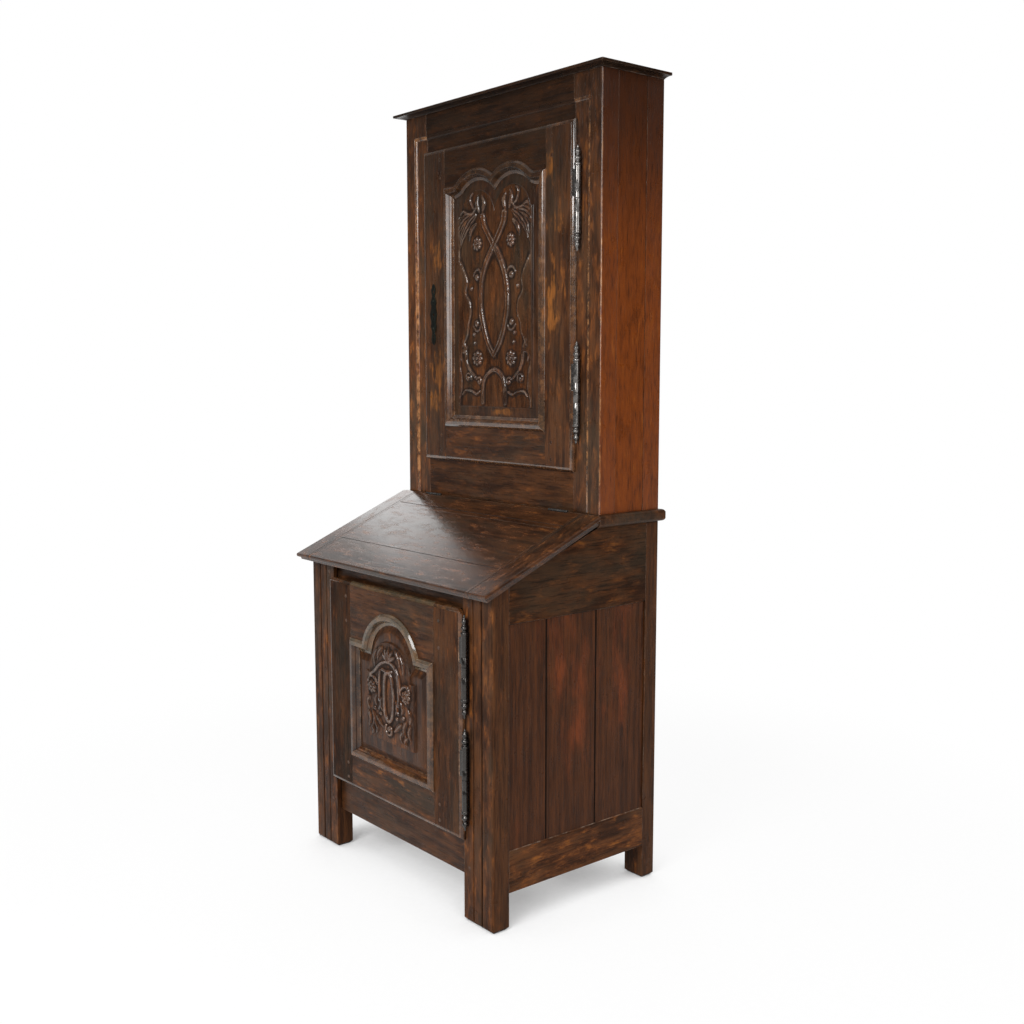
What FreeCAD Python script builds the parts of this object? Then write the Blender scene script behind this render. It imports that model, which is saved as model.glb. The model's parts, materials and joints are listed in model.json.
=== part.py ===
import FreeCAD, Part
import math
import os

os.makedirs("parts", exist_ok=True)

Vector = FreeCAD.Vector

# Overall sizes of the cabinet
case_width = 756.0
lower_depth = 512.0
upper_depth = 198.0
case_height = 1915.0
waist_height = 918.0
waist_thickness = 28.0
waist_side_overhang = 14.0
waist_back_overhang = 12.0
waist_front_reveal = 10.0
waist_edge_round = 8.0

# Cornice
cornice_height = 11.0
cornice_projection = 25.0
cornice_seat = 26.0
cornice_shares = [(0.10, 0.0), (0.10, 0.08), (0.88, 0.40), (1.0, 0.46), (1.0, 1.0)]
cornice_hollow_share = (0.42, 0.34)

# Slanted lid
lid_rise = 145.0
lid_front_overhang = 38.0
lid_side_overhang = 18.0
lid_thickness = 20.0
lid_stile = 70.0
lid_front_rail = 112.0
lid_back_rail = 77.0
lid_back_gap = 1.0
lid_rest_gap = 0.5
lid_nose_shares = [(0.30, 0.0), (0.30, 0.30), (0.0, 0.55), (0.0, 0.78), (0.07, 0.93), (0.24, 1.0)]
lid_tongue = 10.0
lid_tongue_thickness = 7.0
lid_tenon = 40.0

# Posts and rails of the lower case
front_post_width = 105.0
front_post_depth = 46.0
rear_post_width = 60.0
rear_post_depth = 40.0
post_corner_round = 7.0
foot_bevel = 6.0
reed_positions = [40.0, 70.0]
reed_half_widths = [3.2, 2.4]
reed_depths = [4.5, 2.8]
front_rail_setback = 14.0
front_rail_thickness = 26.0
front_bottom_rail_base = 102.0
side_rail_thickness = 26.0
side_top_rail_drop = 77.0
side_bottom_rail_base = 85.0
side_bottom_rail_top = 187.0
side_rail_bevel = 8.0
side_bead = 3.0
side_board_thickness = 15.0
side_board_recess = 4.0
side_board_shares = [0.263, 0.624]
board_edge_chamfer = 1.6
groove_depth = 10.0
tongue_play = 1.0
back_board_thickness = 15.0
back_board_count = 5
back_rail_thickness = 22.0
back_rail_height = 70.0
back_bottom_rail_base = 110.0

# Inner boards of the lower case
floor_top = 190.0
shelf_share = 0.49
well_drop = 61.0
inner_board_thickness = 18.0
bearer_width = 20.0
bearer_height = 24.0

# Upper case
upper_post_width = 92.0
upper_post_depth = 51.0
upper_rear_post_width = 40.0
upper_rear_post_depth = 54.0
upper_side_thickness = 22.0
upper_rail_thickness = 30.0
frieze_height = 55.0
front_land = 38.0
front_recess = 5.0
front_bead = 9.0
front_bead_shares = [(0.0, 0.30), (0.26, 0.30), (1.0, 1.0)]
front_bead_curve_share = (0.80, 0.46)
upper_shelf_shares = [0.3003, 0.6007]
top_board_thickness = 9.0
upper_floor_drop = 6.0

# Doors
door_lip = 11.5
door_lip_gap = 0.5
door_rebate = 16.0
door_side_play = 2.0
door_edge_round = 8.0
door_edge_shares = [(0.0, 1.0), (0.13, 0.50), (0.50, 0.13), (1.0, 0.0)]
door_quirk_width = 2.0
door_quirk_depth = 1.2
lower_door_lap = 6.0
lower_door_bottom = 192.0
lower_door_drop = 48.0
lower_door_corner = 22.0
upper_door_lap = 8.0
upper_door_base_gap = 94.0
upper_door_top_gap = 97.0
upper_door_corner = 5.0

# Moulded openings and raised panels of the doors
moulding_width = 30.0
moulding_rise = 8.0
moulding_outer_shares = [(0.0, 0.0), (0.0, 0.30), (0.18, 0.90), (0.46, 1.0)]
moulding_inner_shares = [(1.0, 0.0), (1.0, 0.10), (0.76, 0.26), (0.54, 1.0)]
upper_door_stile = 96.0
upper_panel_base_share = 0.113
upper_panel_top_share = 0.1265
upper_hump_offset_share = 0.3434
upper_hump_radius_share = 0.606
upper_hump_drop_share = 0.7083
upper_nose_share = 0.1616
upper_field_side = 50.0
upper_field_base = 53.0
upper_field_shoulder = 75.0
upper_field_hump_drop = 2.0
upper_field_hump_inset = 51.0
upper_field_rise = 4.0
lower_door_stile = 103.0
lower_panel_base_share = 0.1595
lower_panel_top_share = 0.2664
lower_arch_drop = 38.0
lower_arch_radius_share = 0.705
lower_field_side = 73.0
lower_field_base = 74.0
lower_field_shoulder = 67.0
lower_field_arch_drop = 30.0
lower_field_arch_inset = 38.0
lower_field_rise = 13.0
panel_set_back = 9.0
panel_thickness = 8.0
panel_tongue = 9.0
panel_margin = 1.0
panel_bevel_inset = 32.0
panel_bevel_width = 16.0
panel_bevel_share = 0.6
panel_step = 2.0

# Tenons and pegs
joint_play = 0.2
tenon_thickness = 10.0
door_tenon_length = 58.0
rail_tenon_length = 40.0
side_tenon_length = 26.0
tenon_shoulder = 20.0
door_tenon_shoulder_share = 0.15
peg_radius = 4.5
peg_play = 0.1
peg_length = 24.0
peg_sides = 6
peg_inset = 20.0
peg_end_share = 0.28

# Turned fiche hinges of the doors
hinge_radius = 7.5
hinge_face_gap = 0.4
hinge_edge_gap = 2.5
hinge_knuckle_share = 0.135
hinge_finial_share = 0.088
hinge_sides = 8
hinge_joint_gap = 0.4
hinge_pin_radius = 3.5
hinge_pin_play = 0.05
hinge_pin_share = 0.78
hinge_pin_end_gap = 1.0
hinge_leaf_thickness = 2.5
hinge_leaf_margin = 6.0
hinge_leaf_reach = 36.0
hinge_leaf_play = 0.2
hinge_finial_shares = [(1.14, 0.05), (1.14, 0.15), (0.62, 0.24), (1.06, 0.38), (0.56, 0.54), (0.86, 0.70),
                       (0.12, 1.0)]
upper_hinge_shares = [0.2295, 0.7767]
lower_hinge_shares = [0.27, 0.756]

# Butt hinges of the lid
lid_hinge_radius = 4.0
lid_hinge_length = 66.0
lid_hinge_share = 0.767
lid_hinge_pin_radius = 1.8
lid_hinge_leaf = 1.6
lid_hinge_leaf_drop = 15.0
lid_hinge_play = 0.3

# Lock of the upper door
lock_inset = 46.0
lock_height_share = 0.475
lock_case_width = 90.0
lock_case_height = 68.0
lock_case_depth = 17.0
lock_case_wall = 2.0
lock_edge_gap = 2.0
bolt_length = 66.0
bolt_height = 20.0
bolt_thickness = 8.0
bolt_play = 0.5
keeper_thickness = 2.0
keeper_height = 52.0
keeper_width = 18.0
keeper_slot_depth = 18.0
keyhole_radius = 3.6
keyhole_slot_width = 3.4
keyhole_slot_length = 14.0
escutcheon_height = 160.0
escutcheon_width = 31.0
escutcheon_thickness = 2.0
escutcheon_pierce_share = 0.20
escutcheon_eye_share = 0.74
escutcheon_shares = [(0.42, 0.93), (0.62, 0.80), (0.50, 0.68), (0.30, 0.60), (0.56, 0.50), (0.84, 0.40),
                     (0.60, 0.28), (0.74, 0.15)]

# One overrun lets every cut pass clear of its faces
overrun = 5.0

# Positions that follow from the sizes above
half_width = case_width / 2
front_y = 0.0
back_y = front_y + lower_depth
upper_front_y = back_y - upper_depth
upper_frame_y = upper_front_y + front_recess
waist_front_y = upper_front_y - waist_front_reveal
waist_base = waist_height - waist_thickness
hinge_line_y = waist_front_y - lid_back_gap
lid_front_height = waist_height - lid_rise
lid_run = hinge_line_y - (front_y - lid_front_overhang)
lid_slope = math.atan2(lid_rise, lid_run)
lid_length = lid_run / math.cos(lid_slope)
lid_drop = (lid_thickness + lid_rest_gap) / math.cos(lid_slope)
side_top_rail_base = lid_front_height - side_top_rail_drop
well_top = lid_front_height - well_drop
shelf_top = floor_top + shelf_share * (well_top - floor_top)
lower_door_top = lid_front_height - lower_door_drop
lower_door_height = lower_door_top - lower_door_bottom
upper_door_bottom = waist_height + upper_door_base_gap
upper_door_top = case_height - upper_door_top_gap
upper_door_height = upper_door_top - upper_door_bottom
lower_opening_half = half_width - front_post_width
lower_door_half = lower_opening_half + lower_door_lap
lower_opening_base = lower_door_bottom + lower_door_lap
lower_opening_top = lower_door_top - lower_door_lap
upper_opening_half = half_width - upper_post_width
upper_door_half = upper_opening_half + upper_door_lap
upper_opening_base = upper_door_bottom + upper_door_lap
upper_opening_top = upper_door_top - upper_door_lap
upper_floor_top = upper_opening_base - upper_floor_drop
upper_room = case_height - upper_floor_top
upper_shelf_tops = [upper_floor_top + share * upper_room for share in upper_shelf_shares]
hinge_knuckle = lower_door_height * hinge_knuckle_share
hinge_finial = lower_door_height * hinge_finial_share
hinge_pin_reach = hinge_knuckle * hinge_pin_share
upper_hinge_heights = [upper_door_bottom + share * upper_door_height for share in upper_hinge_shares]
lower_hinge_heights = [lower_door_bottom + share * lower_door_height for share in lower_hinge_shares]
lock_height = upper_door_bottom + upper_door_height * lock_height_share
hinge_offset = hinge_radius + hinge_edge_gap
hinge_stand = hinge_radius * max(share[0] for share in hinge_finial_shares) + hinge_face_gap
side_inner_x = half_width - side_board_recess - side_board_thickness
upper_side_inner_x = half_width - upper_side_thickness
upper_panel_half = upper_door_half - upper_door_stile
upper_panel_bottom = upper_door_bottom + upper_door_height * upper_panel_base_share
upper_panel_shoulder = upper_door_top - upper_door_height * upper_panel_top_share
upper_hump_offset = upper_panel_half * upper_hump_offset_share
upper_hump_radius = upper_panel_half * upper_hump_radius_share
upper_hump_height = upper_panel_shoulder - upper_hump_radius * upper_hump_drop_share
upper_nose_radius = upper_panel_half * upper_nose_share
lower_panel_half = lower_door_half - lower_door_stile
lower_panel_bottom = lower_door_bottom + lower_door_height * lower_panel_base_share
lower_panel_shoulder = lower_door_top - lower_door_height * lower_panel_top_share
lower_arch_height = lower_panel_shoulder - lower_arch_drop
lower_arch_radius = lower_panel_half * lower_arch_radius_share


def panel_outline(half, base, shoulder, discs, nose=0.0):
    return {"half": half, "base": base, "top": shoulder, "discs": discs, "nose": nose}


upper_panel = panel_outline(upper_panel_half, upper_panel_bottom, upper_panel_shoulder,
                            [(sign * upper_hump_offset, upper_hump_height, upper_hump_radius)
                             for sign in (-1, 1)], upper_nose_radius)
upper_field = panel_outline(upper_panel_half - upper_field_side, upper_panel_bottom + upper_field_base,
                            upper_panel_shoulder - upper_field_shoulder,
                            [(sign * upper_hump_offset, upper_hump_height - upper_field_hump_drop,
                              upper_hump_radius - upper_field_hump_inset) for sign in (-1, 1)])
lower_panel = panel_outline(lower_panel_half, lower_panel_bottom, lower_panel_shoulder,
                            [(0.0, lower_arch_height, lower_arch_radius)])
lower_field = panel_outline(lower_panel_half - lower_field_side, lower_panel_bottom + lower_field_base,
                            lower_panel_shoulder - lower_field_shoulder,
                            [(0.0, lower_arch_height - lower_field_arch_drop,
                              lower_arch_radius - lower_field_arch_inset)])

parts = {}


# Basic shapes
def box(x0, x1, y0, y1, z0, z1):
    return Part.makeBox(x1 - x0, y1 - y0, z1 - z0, Vector(x0, y0, z0))


def grown(limits, play):
    x0, x1, y0, y1, z0, z1 = limits
    return box(x0 - play, x1 + play, y0 - play, y1 + play, z0 - play, z1 + play)


def straight(points):
    return [(point, None) for point in points]


def turned_back(path):
    ends = [item[0] for item in path]
    curves = [item[1] for item in path]
    return [(ends[-1], None)] + [(ends[k], curves[k + 1]) for k in range(len(path) - 2, -1, -1)]


def path_face(path, place):
    edges = []
    for k in range(1, len(path)):
        start = place(path[k - 1][0])
        end = place(path[k][0])
        if path[k][1] is None:
            edges.append(Part.LineSegment(start, end).toShape())
        else:
            edges.append(Part.Arc(start, place(path[k][1]), end).toShape())
    edges.append(Part.LineSegment(place(path[-1][0]), place(path[0][0])).toShape())
    return Part.Face(Part.Wire(edges))


def prism_z(path, z0, z1):
    return path_face(path, lambda p: Vector(p[0], p[1], z0)).extrude(Vector(0, 0, z1 - z0))


def prism_y(path, y0, y1):
    return path_face(path, lambda p: Vector(p[0], y0, p[1])).extrude(Vector(0, y1 - y0, 0))


def prism_x(path, x0, x1):
    return path_face(path, lambda p: Vector(x0, p[0], p[1])).extrude(Vector(x1 - x0, 0, 0))


def cylinder(radius, x, y, z0, z1):
    return Part.makeCylinder(radius, z1 - z0, Vector(x, y, z0))


def joined(shapes):
    whole = shapes[0]
    if len(shapes) > 1:
        whole = whole.multiFuse(shapes[1:])
    return whole.removeSplitter()


def mirrored(shape):
    return shape.mirror(Vector(0, 0, 0), Vector(1, 0, 0))


# A slab whose four edges follow one profile, given as (inset, depth) pairs
def edged_slab(x0, x1, z0, z1, path):
    def moved(origin, sign):
        def shift(p):
            return (origin + sign * p[0], p[1])
        return [(shift(end), None if curve is None else shift(curve)) for end, curve in path]
    across = moved(x0, 1) + turned_back(moved(x1, -1))
    upright = moved(z0, 1) + turned_back(moved(z1, -1))
    along = path_face(across, lambda p: Vector(p[0], p[1], z0)).extrude(Vector(0, 0, z1 - z0))
    over = path_face(upright, lambda p: Vector(x0, p[1], p[0])).extrude(Vector(x1 - x0, 0, 0))
    return along.common(over)


# The same profile turned round an upright disc
def edged_disc(x, z, radius, path):
    turned = [((radius - end[0], end[1]), None if curve is None else (radius - curve[0], curve[1]))
              for end, curve in path]
    closed = [((0.0, path[0][0][1]), None)] + turned + [((0.0, path[-1][0][1]), None)]
    face = path_face(closed, lambda p: Vector(x + p[0], p[1], z))
    return face.revolve(Vector(x, 0, z), Vector(0, 1, 0), 360)


# A round nose leads from the shoulder up into a hump, and the profile turns the other way round it
def edged_nose(outline, x, z, radius, path):
    nose = outline["nose"]
    rise = outline["top"] + nose - z
    run = math.sqrt((radius + nose) ** 2 - rise ** 2)
    side = math.copysign(1.0, x)
    deepest = max(end[0] for end, curve in path)
    reach = min(run, outline["half"] - deepest - abs(x))
    wedge_x = x + side * reach
    corners = [(wedge_x, z + rise * reach / run), (x, z), (wedge_x, z)]
    depths = sorted([path[0][0][1], path[-1][0][1]])
    wedge = prism_y(straight(corners), depths[0], depths[1])
    outward = [((-end[0], end[1]), None if curve is None else (-curve[0], curve[1])) for end, curve in path]
    return wedge.cut(edged_disc(x + side * run, outline["top"] + nose, nose, outward))


# A shaped outline is a rectangle with round humps on its top
def shaped(outline, path):
    reach = max([0.0] + [-item[0][0] for item in path])
    shapes = [edged_slab_wide(outline, path, reach)]
    for x, z, radius in outline["discs"]:
        shapes.append(edged_disc(x, z, radius, path))
        if outline["nose"] > 0:
            shapes.append(edged_nose(outline, x, z, radius, path))
    return joined(shapes)


def edged_slab_wide(outline, path, reach):
    moved_path = [((end[0] + reach, end[1]), None if curve is None else (curve[0] + reach, curve[1]))
                  for end, curve in path]
    return edged_slab(-outline["half"] - reach, outline["half"] + reach,
                      outline["base"] - reach, outline["top"] + reach, moved_path)


def level(inset, y0, y1):
    return straight([(inset, y0), (inset, y1)])


# Joints between members
def tenon(rail, post, limits):
    parts[rail] = parts[rail].fuse(box(*limits)).removeSplitter()
    parts[post] = parts[post].cut(grown(limits, joint_play))


def peg_shape(x, y, z, direction, radius, length):
    points = []
    for k in range(peg_sides):
        turn = 2 * math.pi * k / peg_sides
        points.append(Vector(radius * math.cos(turn), radius * math.sin(turn), 0))
    points.append(points[0])
    shape = Part.Face(Part.makePolygon(points)).extrude(Vector(0, 0, length))
    shape.Placement = FreeCAD.Placement(Vector(x, y, z), FreeCAD.Rotation(Vector(0, 0, 1), direction))
    return shape


def peg(group, members, x, y, z, direction):
    parts.setdefault(group, []).append(peg_shape(x, y, z, direction, peg_radius, peg_length))
    start = Vector(x, y, z) - direction * overrun
    hole = peg_shape(start.x, start.y, start.z, direction, peg_radius + peg_play,
                     peg_length + overrun + peg_play)
    for member in members:
        parts[member] = parts[member].cut(hole)


def peg_heights(z0, z1):
    return [z0 + (z1 - z0) * peg_end_share, z1 - (z1 - z0) * peg_end_share]


back = Vector(0, 1, 0)


# Height of the lid's resting plane over the lower case
def rest_height(y):
    return waist_height + (y - hinge_line_y) * math.tan(lid_slope) - lid_drop


level_y = hinge_line_y - (lid_drop - waist_thickness) / math.tan(lid_slope)
above_rest = prism_x(straight([(front_y - overrun, rest_height(front_y - overrun)),
                               (level_y, waist_base), (back_y + overrun, waist_base),
                               (back_y + overrun, case_height), (front_y - overrun, case_height)]),
                     -case_width, case_width)

# Front posts of the lower case, standing down as feet
post = box(half_width - front_post_width, half_width, front_y, front_y + front_post_depth, 0, waist_base)
corner = [edge for edge in post.Edges if edge.BoundBox.XMin > half_width - overrun
          and edge.BoundBox.YMax < front_y + overrun and edge.BoundBox.ZLength > overrun]
post = post.makeFillet(post_corner_round, corner)
foot = [edge for edge in post.Edges if edge.BoundBox.ZMax < overrun]
post = post.makeChamfer(foot_bevel, foot)
for position, reed_half, depth in zip(reed_positions, reed_half_widths, reed_depths):
    x = half_width - position
    post = post.cut(prism_z(straight([(x - reed_half, front_y - overrun), (x - reed_half, front_y),
                                      (x, front_y + depth), (x + reed_half, front_y),
                                      (x + reed_half, front_y - overrun)]), -overrun, waist_base + overrun))
post = post.cut(above_rest)
parts["lower_right_front_post"] = post
parts["lower_left_front_post"] = mirrored(post)

# Rear posts of the lower case
post = box(half_width - rear_post_width, half_width, back_y - rear_post_depth, back_y, 0, waist_base)
foot = [edge for edge in post.Edges if edge.BoundBox.ZMax < overrun]
post = post.makeChamfer(foot_bevel, foot)
parts["lower_right_rear_post"] = post
parts["lower_left_rear_post"] = mirrored(post)

# Front rails of the lower case
rail_front = front_y + front_rail_setback
rail_back = rail_front + front_rail_thickness
front_rails = {"lower_front_bottom_rail": (front_bottom_rail_base, lower_opening_base),
               "lower_front_top_rail": (lower_opening_top, rest_height(rail_front))}
for name, (z0, z1) in front_rails.items():
    parts[name] = box(-lower_opening_half, lower_opening_half, rail_front, rail_back, z0, z1)
    y0 = (rail_front + rail_back - tenon_thickness) / 2
    for sign, side in [(-1, "left"), (1, "right")]:
        ends = sorted([sign * lower_opening_half, sign * (lower_opening_half + rail_tenon_length)])
        shoulder = (z1 - z0) * peg_end_share / 2
        tenon(name, "lower_%s_front_post" % side,
              (ends[0], ends[1], y0, y0 + tenon_thickness, z0 + shoulder, z1 - shoulder))

# Side rails of the lower case
side_start = front_y + front_post_depth
side_end = back_y - rear_post_depth
side_x0 = half_width - side_rail_thickness
top_rail = box(side_x0, half_width, side_start, side_end, side_top_rail_base, waist_base).cut(above_rest)
bead_x = half_width - side_bead
bead_z = side_top_rail_base + side_bead
low_z = side_top_rail_base - overrun
far_x = half_width + overrun
bead_cut = straight([(bead_x, low_z), (bead_x, side_top_rail_base), (half_width, bead_z), (far_x, bead_z),
                     (far_x, low_z)])
top_rail = top_rail.cut(prism_y(bead_cut, side_start - overrun, side_end + overrun))
bottom_rail = box(side_x0, half_width, side_start, side_end, side_bottom_rail_base, side_bottom_rail_top)
bevel_x = half_width - side_rail_bevel
bevel_z = side_bottom_rail_top - side_rail_bevel
high_z = side_bottom_rail_top + overrun
bevel_cut = straight([(bevel_x, high_z), (bevel_x, side_bottom_rail_top), (half_width, bevel_z),
                      (far_x, bevel_z), (far_x, high_z)])
bottom_rail = bottom_rail.cut(prism_y(bevel_cut, side_start - overrun, side_end + overrun))
parts["right_side_top_rail"] = top_rail
parts["left_side_top_rail"] = mirrored(top_rail)
parts["right_side_bottom_rail"] = bottom_rail
parts["left_side_bottom_rail"] = mirrored(bottom_rail)
front_rest = rest_height(side_start - side_tenon_length)
side_tenons = {"top": (side_top_rail_base, front_rest, waist_base),
               "bottom": (side_bottom_rail_base, side_bottom_rail_top, side_bottom_rail_top)}
tenon_x = side_x0 + (side_rail_thickness - tenon_thickness) / 2
for which, (z0, front_z1, rear_z1) in side_tenons.items():
    for sign, side in [(-1, "left"), (1, "right")]:
        xs = sorted([sign * tenon_x, sign * (tenon_x + tenon_thickness)])
        rail = "%s_side_%s_rail" % (side, which)
        front_top = front_z1 - tenon_shoulder
        rear_top = rear_z1 - tenon_shoulder
        base = z0 + tenon_shoulder
        tenon(rail, "lower_%s_front_post" % side,
              (xs[0], xs[1], side_start - side_tenon_length, side_start, base, front_top))
        tenon(rail, "lower_%s_rear_post" % side,
              (xs[0], xs[1], side_end, side_end + side_tenon_length, base, rear_top))

# Side panels of upright boards, let into grooves all round
panel_x1 = half_width - side_board_recess
groove = (side_inner_x, panel_x1, side_start - groove_depth, side_end + groove_depth,
          side_bottom_rail_top - groove_depth, side_top_rail_base + groove_depth)
joints_y = [side_start + share * (side_end - side_start) for share in side_board_shares]
joints_y = [side_start - groove_depth + tongue_play] + joints_y + [side_end + groove_depth - tongue_play]
side_boards = []
for y0, y1 in zip(joints_y[:-1], joints_y[1:]):
    cut = panel_x1 - board_edge_chamfer
    shape = prism_z(straight([(side_inner_x, y0), (cut, y0), (panel_x1, y0 + board_edge_chamfer),
                              (panel_x1, y1 - board_edge_chamfer), (cut, y1), (side_inner_x, y1)]),
                    groove[4] + tongue_play, groove[5] - tongue_play)
    side_boards.append(shape)
parts["right_side_boards"] = side_boards
parts["left_side_boards"] = [mirrored(shape) for shape in side_boards]
for side in ["left", "right"]:
    cutter = grown(groove, joint_play)
    if side == "left":
        cutter = mirrored(cutter)
    for name in ["lower_%s_front_post", "lower_%s_rear_post", "%s_side_top_rail", "%s_side_bottom_rail"]:
        parts[name % side] = parts[name % side].cut(cutter)

# Back of the lower case
back_inner_y = back_y - back_board_thickness
back_half = half_width - rear_post_width
back_rails = []
for z0 in [back_bottom_rail_base, waist_base - back_rail_height]:
    z1 = z0 + back_rail_height
    rail = box(-back_half, back_half, back_inner_y - back_rail_thickness, back_inner_y, z0, z1)
    y0 = back_inner_y - (back_rail_thickness + tenon_thickness) / 2
    for sign, side in [(-1, "left"), (1, "right")]:
        ends = sorted([sign * back_half, sign * (back_half + rail_tenon_length / 2)])
        limits = (ends[0], ends[1], y0, y0 + tenon_thickness, z0 + tenon_shoulder, z1 - tenon_shoulder)
        rail = rail.fuse(box(*limits))
        post = "lower_%s_rear_post" % side
        parts[post] = parts[post].cut(grown(limits, joint_play))
    back_rails.append(rail.removeSplitter())
parts["lower_back_rails"] = back_rails


def upright_boards(half, y0, y1, z0, z1):
    width = 2 * half / back_board_count
    boards = []
    for k in range(back_board_count):
        x0 = -half + k * width
        x1 = x0 + width
        edge_y = y1 - board_edge_chamfer
        section = straight([(x0, y0), (x1, y0), (x1, edge_y), (x1 - board_edge_chamfer, y1),
                            (x0 + board_edge_chamfer, y1), (x0, edge_y)])
        boards.append(prism_z(section, z0, z1))
    return boards


parts["lower_back_boards"] = upright_boards(back_half, back_inner_y, back_y, back_bottom_rail_base,
                                            waist_base)

# Inner boards of the lower case, on bearers along the sides
inner_back = back_inner_y - back_rail_thickness


def inner_board(half, y0, y1, top, posts):
    board = box(-half, half, y0, y1, top - inner_board_thickness, top)
    for x0, x1, cut_y0, cut_y1 in posts:
        z0 = top - inner_board_thickness - overrun
        z1 = top + overrun
        notch = grown((x0, x1, cut_y0, cut_y1, z0, z1), joint_play)
        board = board.cut(notch).cut(mirrored(notch))
    return board


lower_notches = [(lower_opening_half, half_width, front_y, side_start),
                 (half_width - rear_post_width, half_width, side_end, back_y)]
lower_boards = [("lower_floor", floor_top, side_x0, side_x0, inner_back),
                ("lower_shelf", shelf_top, side_inner_x, side_inner_x, back_inner_y),
                ("well_floor", well_top, side_x0, side_inner_x, back_inner_y)]
bearers = []
for name, top, board_x, bearer_x, rear in lower_boards:
    parts[name] = inner_board(board_x - joint_play, rail_back, rear, top, lower_notches)
    z1 = top - inner_board_thickness
    z0 = z1 - bearer_height
    shape = box(bearer_x - bearer_width, bearer_x - joint_play, side_start, side_end, z0, z1)
    bearers += [shape, mirrored(shape)]

# Waist board between the two cases
waist_half = half_width + waist_side_overhang
waist = box(-waist_half, waist_half, waist_front_y, back_y + waist_back_overhang, waist_base, waist_height)
rounded = []
for edge in waist.Edges:
    extent = edge.BoundBox
    outside = extent.XMin > half_width or extent.XMax < -half_width or extent.YMin > back_y
    if outside and extent.ZLength < overrun:
        rounded.append(edge)
parts["waist_board"] = waist.makeFillet(waist_edge_round, rounded)

# Posts, rails and sides of the upper case
recess_path = [((0.0, upper_front_y - overrun), None)]
for k, (inset_share, depth_share) in enumerate(front_bead_shares):
    curve = None
    if k == len(front_bead_shares) - 1:
        curve = (front_bead * front_bead_curve_share[0],
                 upper_front_y + front_recess * front_bead_curve_share[1])
    recess_path.append(((front_bead * inset_share, upper_front_y + front_recess * depth_share), curve))
frieze_base = case_height - frieze_height
recess_base = waist_height - frieze_height
recess = edged_slab(front_land - half_width, half_width - front_land, recess_base, frieze_base, recess_path)
post = box(upper_opening_half, half_width, upper_front_y, upper_front_y + upper_post_depth, waist_height,
           case_height)
corner = [edge for edge in post.Edges if edge.BoundBox.XMin > half_width - overrun
          and edge.BoundBox.YMax < upper_front_y + overrun and edge.BoundBox.ZLength > overrun]
post = post.makeFillet(post_corner_round / 2, corner).cut(recess)
parts["upper_right_front_post"] = post
parts["upper_left_front_post"] = mirrored(post)
post = box(half_width - upper_rear_post_width, half_width, back_y - upper_rear_post_depth, back_y,
           waist_height, case_height)
parts["upper_right_rear_post"] = post
parts["upper_left_rear_post"] = mirrored(post)
upper_rails = {"upper_bottom_rail": (waist_height, upper_opening_base),
               "upper_top_rail": (upper_opening_top, case_height)}
for name, (z0, z1) in upper_rails.items():
    rail_y1 = upper_front_y + upper_rail_thickness
    rail = box(-upper_opening_half, upper_opening_half, upper_front_y, rail_y1, z0, z1)
    parts[name] = rail.cut(recess)
    y0 = upper_frame_y + (upper_rail_thickness - front_recess - tenon_thickness) / 2
    for sign, side in [(-1, "left"), (1, "right")]:
        ends = sorted([sign * upper_opening_half, sign * (upper_opening_half + rail_tenon_length)])
        tenon(name, "upper_%s_front_post" % side,
              (ends[0], ends[1], y0, y0 + tenon_thickness, z0 + tenon_shoulder, z1 - tenon_shoulder))
upper_side_start = upper_front_y + upper_post_depth
upper_side_end = back_y - upper_rear_post_depth
tongue_x0 = half_width - (upper_side_thickness + tenon_thickness) / 2
side_cut = half_width - board_edge_chamfer
section = straight([(upper_side_inner_x, upper_side_start), (side_cut, upper_side_start),
                    (half_width, upper_side_start + board_edge_chamfer),
                    (half_width, upper_side_end - board_edge_chamfer),
                    (side_cut, upper_side_end), (upper_side_inner_x, upper_side_end)])
side_board = prism_z(section, waist_height, case_height)
tongue_ends = [(upper_side_start - groove_depth, upper_side_start),
               (upper_side_end, upper_side_end + groove_depth)]
tongues = []
for y0, y1 in tongue_ends:
    tongues.append((tongue_x0, tongue_x0 + tenon_thickness, y0, y1, waist_height, case_height))
for limits, name in zip(tongues, ["upper_%s_front_post", "upper_%s_rear_post"]):
    side_board = side_board.fuse(box(*limits))
    cutter = grown(limits, joint_play)
    parts[name % "right"] = parts[name % "right"].cut(cutter)
    parts[name % "left"] = parts[name % "left"].cut(mirrored(cutter))
side_board = side_board.removeSplitter()
parts["upper_right_side_board"] = side_board
parts["upper_left_side_board"] = mirrored(side_board)

# Inner boards, back and top of the upper case
upper_back_half = half_width - upper_rear_post_width
upper_notches = [(upper_opening_half, half_width, upper_front_y, upper_side_start),
                 (upper_back_half, half_width, upper_side_end, back_y)]
upper_inner_front = upper_front_y + upper_rail_thickness
shelf_front = upper_side_start
shelf_half = upper_side_inner_x - joint_play
parts["upper_bottom_board"] = inner_board(shelf_half, upper_inner_front, back_inner_y, upper_floor_top,
                                          upper_notches)
shelves = []
for top in upper_shelf_tops:
    shelves.append(inner_board(shelf_half, shelf_front, back_inner_y, top, upper_notches))
parts["upper_shelves"] = shelves
for top in [upper_floor_top] + upper_shelf_tops:
    z1 = top - inner_board_thickness
    shape = box(upper_side_inner_x - bearer_width, shelf_half, upper_side_start, upper_side_end,
                z1 - bearer_height, z1)
    bearers += [shape, mirrored(shape)]
parts["shelf_bearers"] = bearers
parts["upper_back_boards"] = upright_boards(upper_back_half, back_inner_y, back_y, waist_height,
                                            case_height)
top_half = half_width - cornice_seat
top_front = upper_front_y + cornice_seat
top_end = case_height + top_board_thickness
parts["upper_top_board"] = box(-top_half, top_half, top_front, back_y, case_height, top_end)

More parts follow.
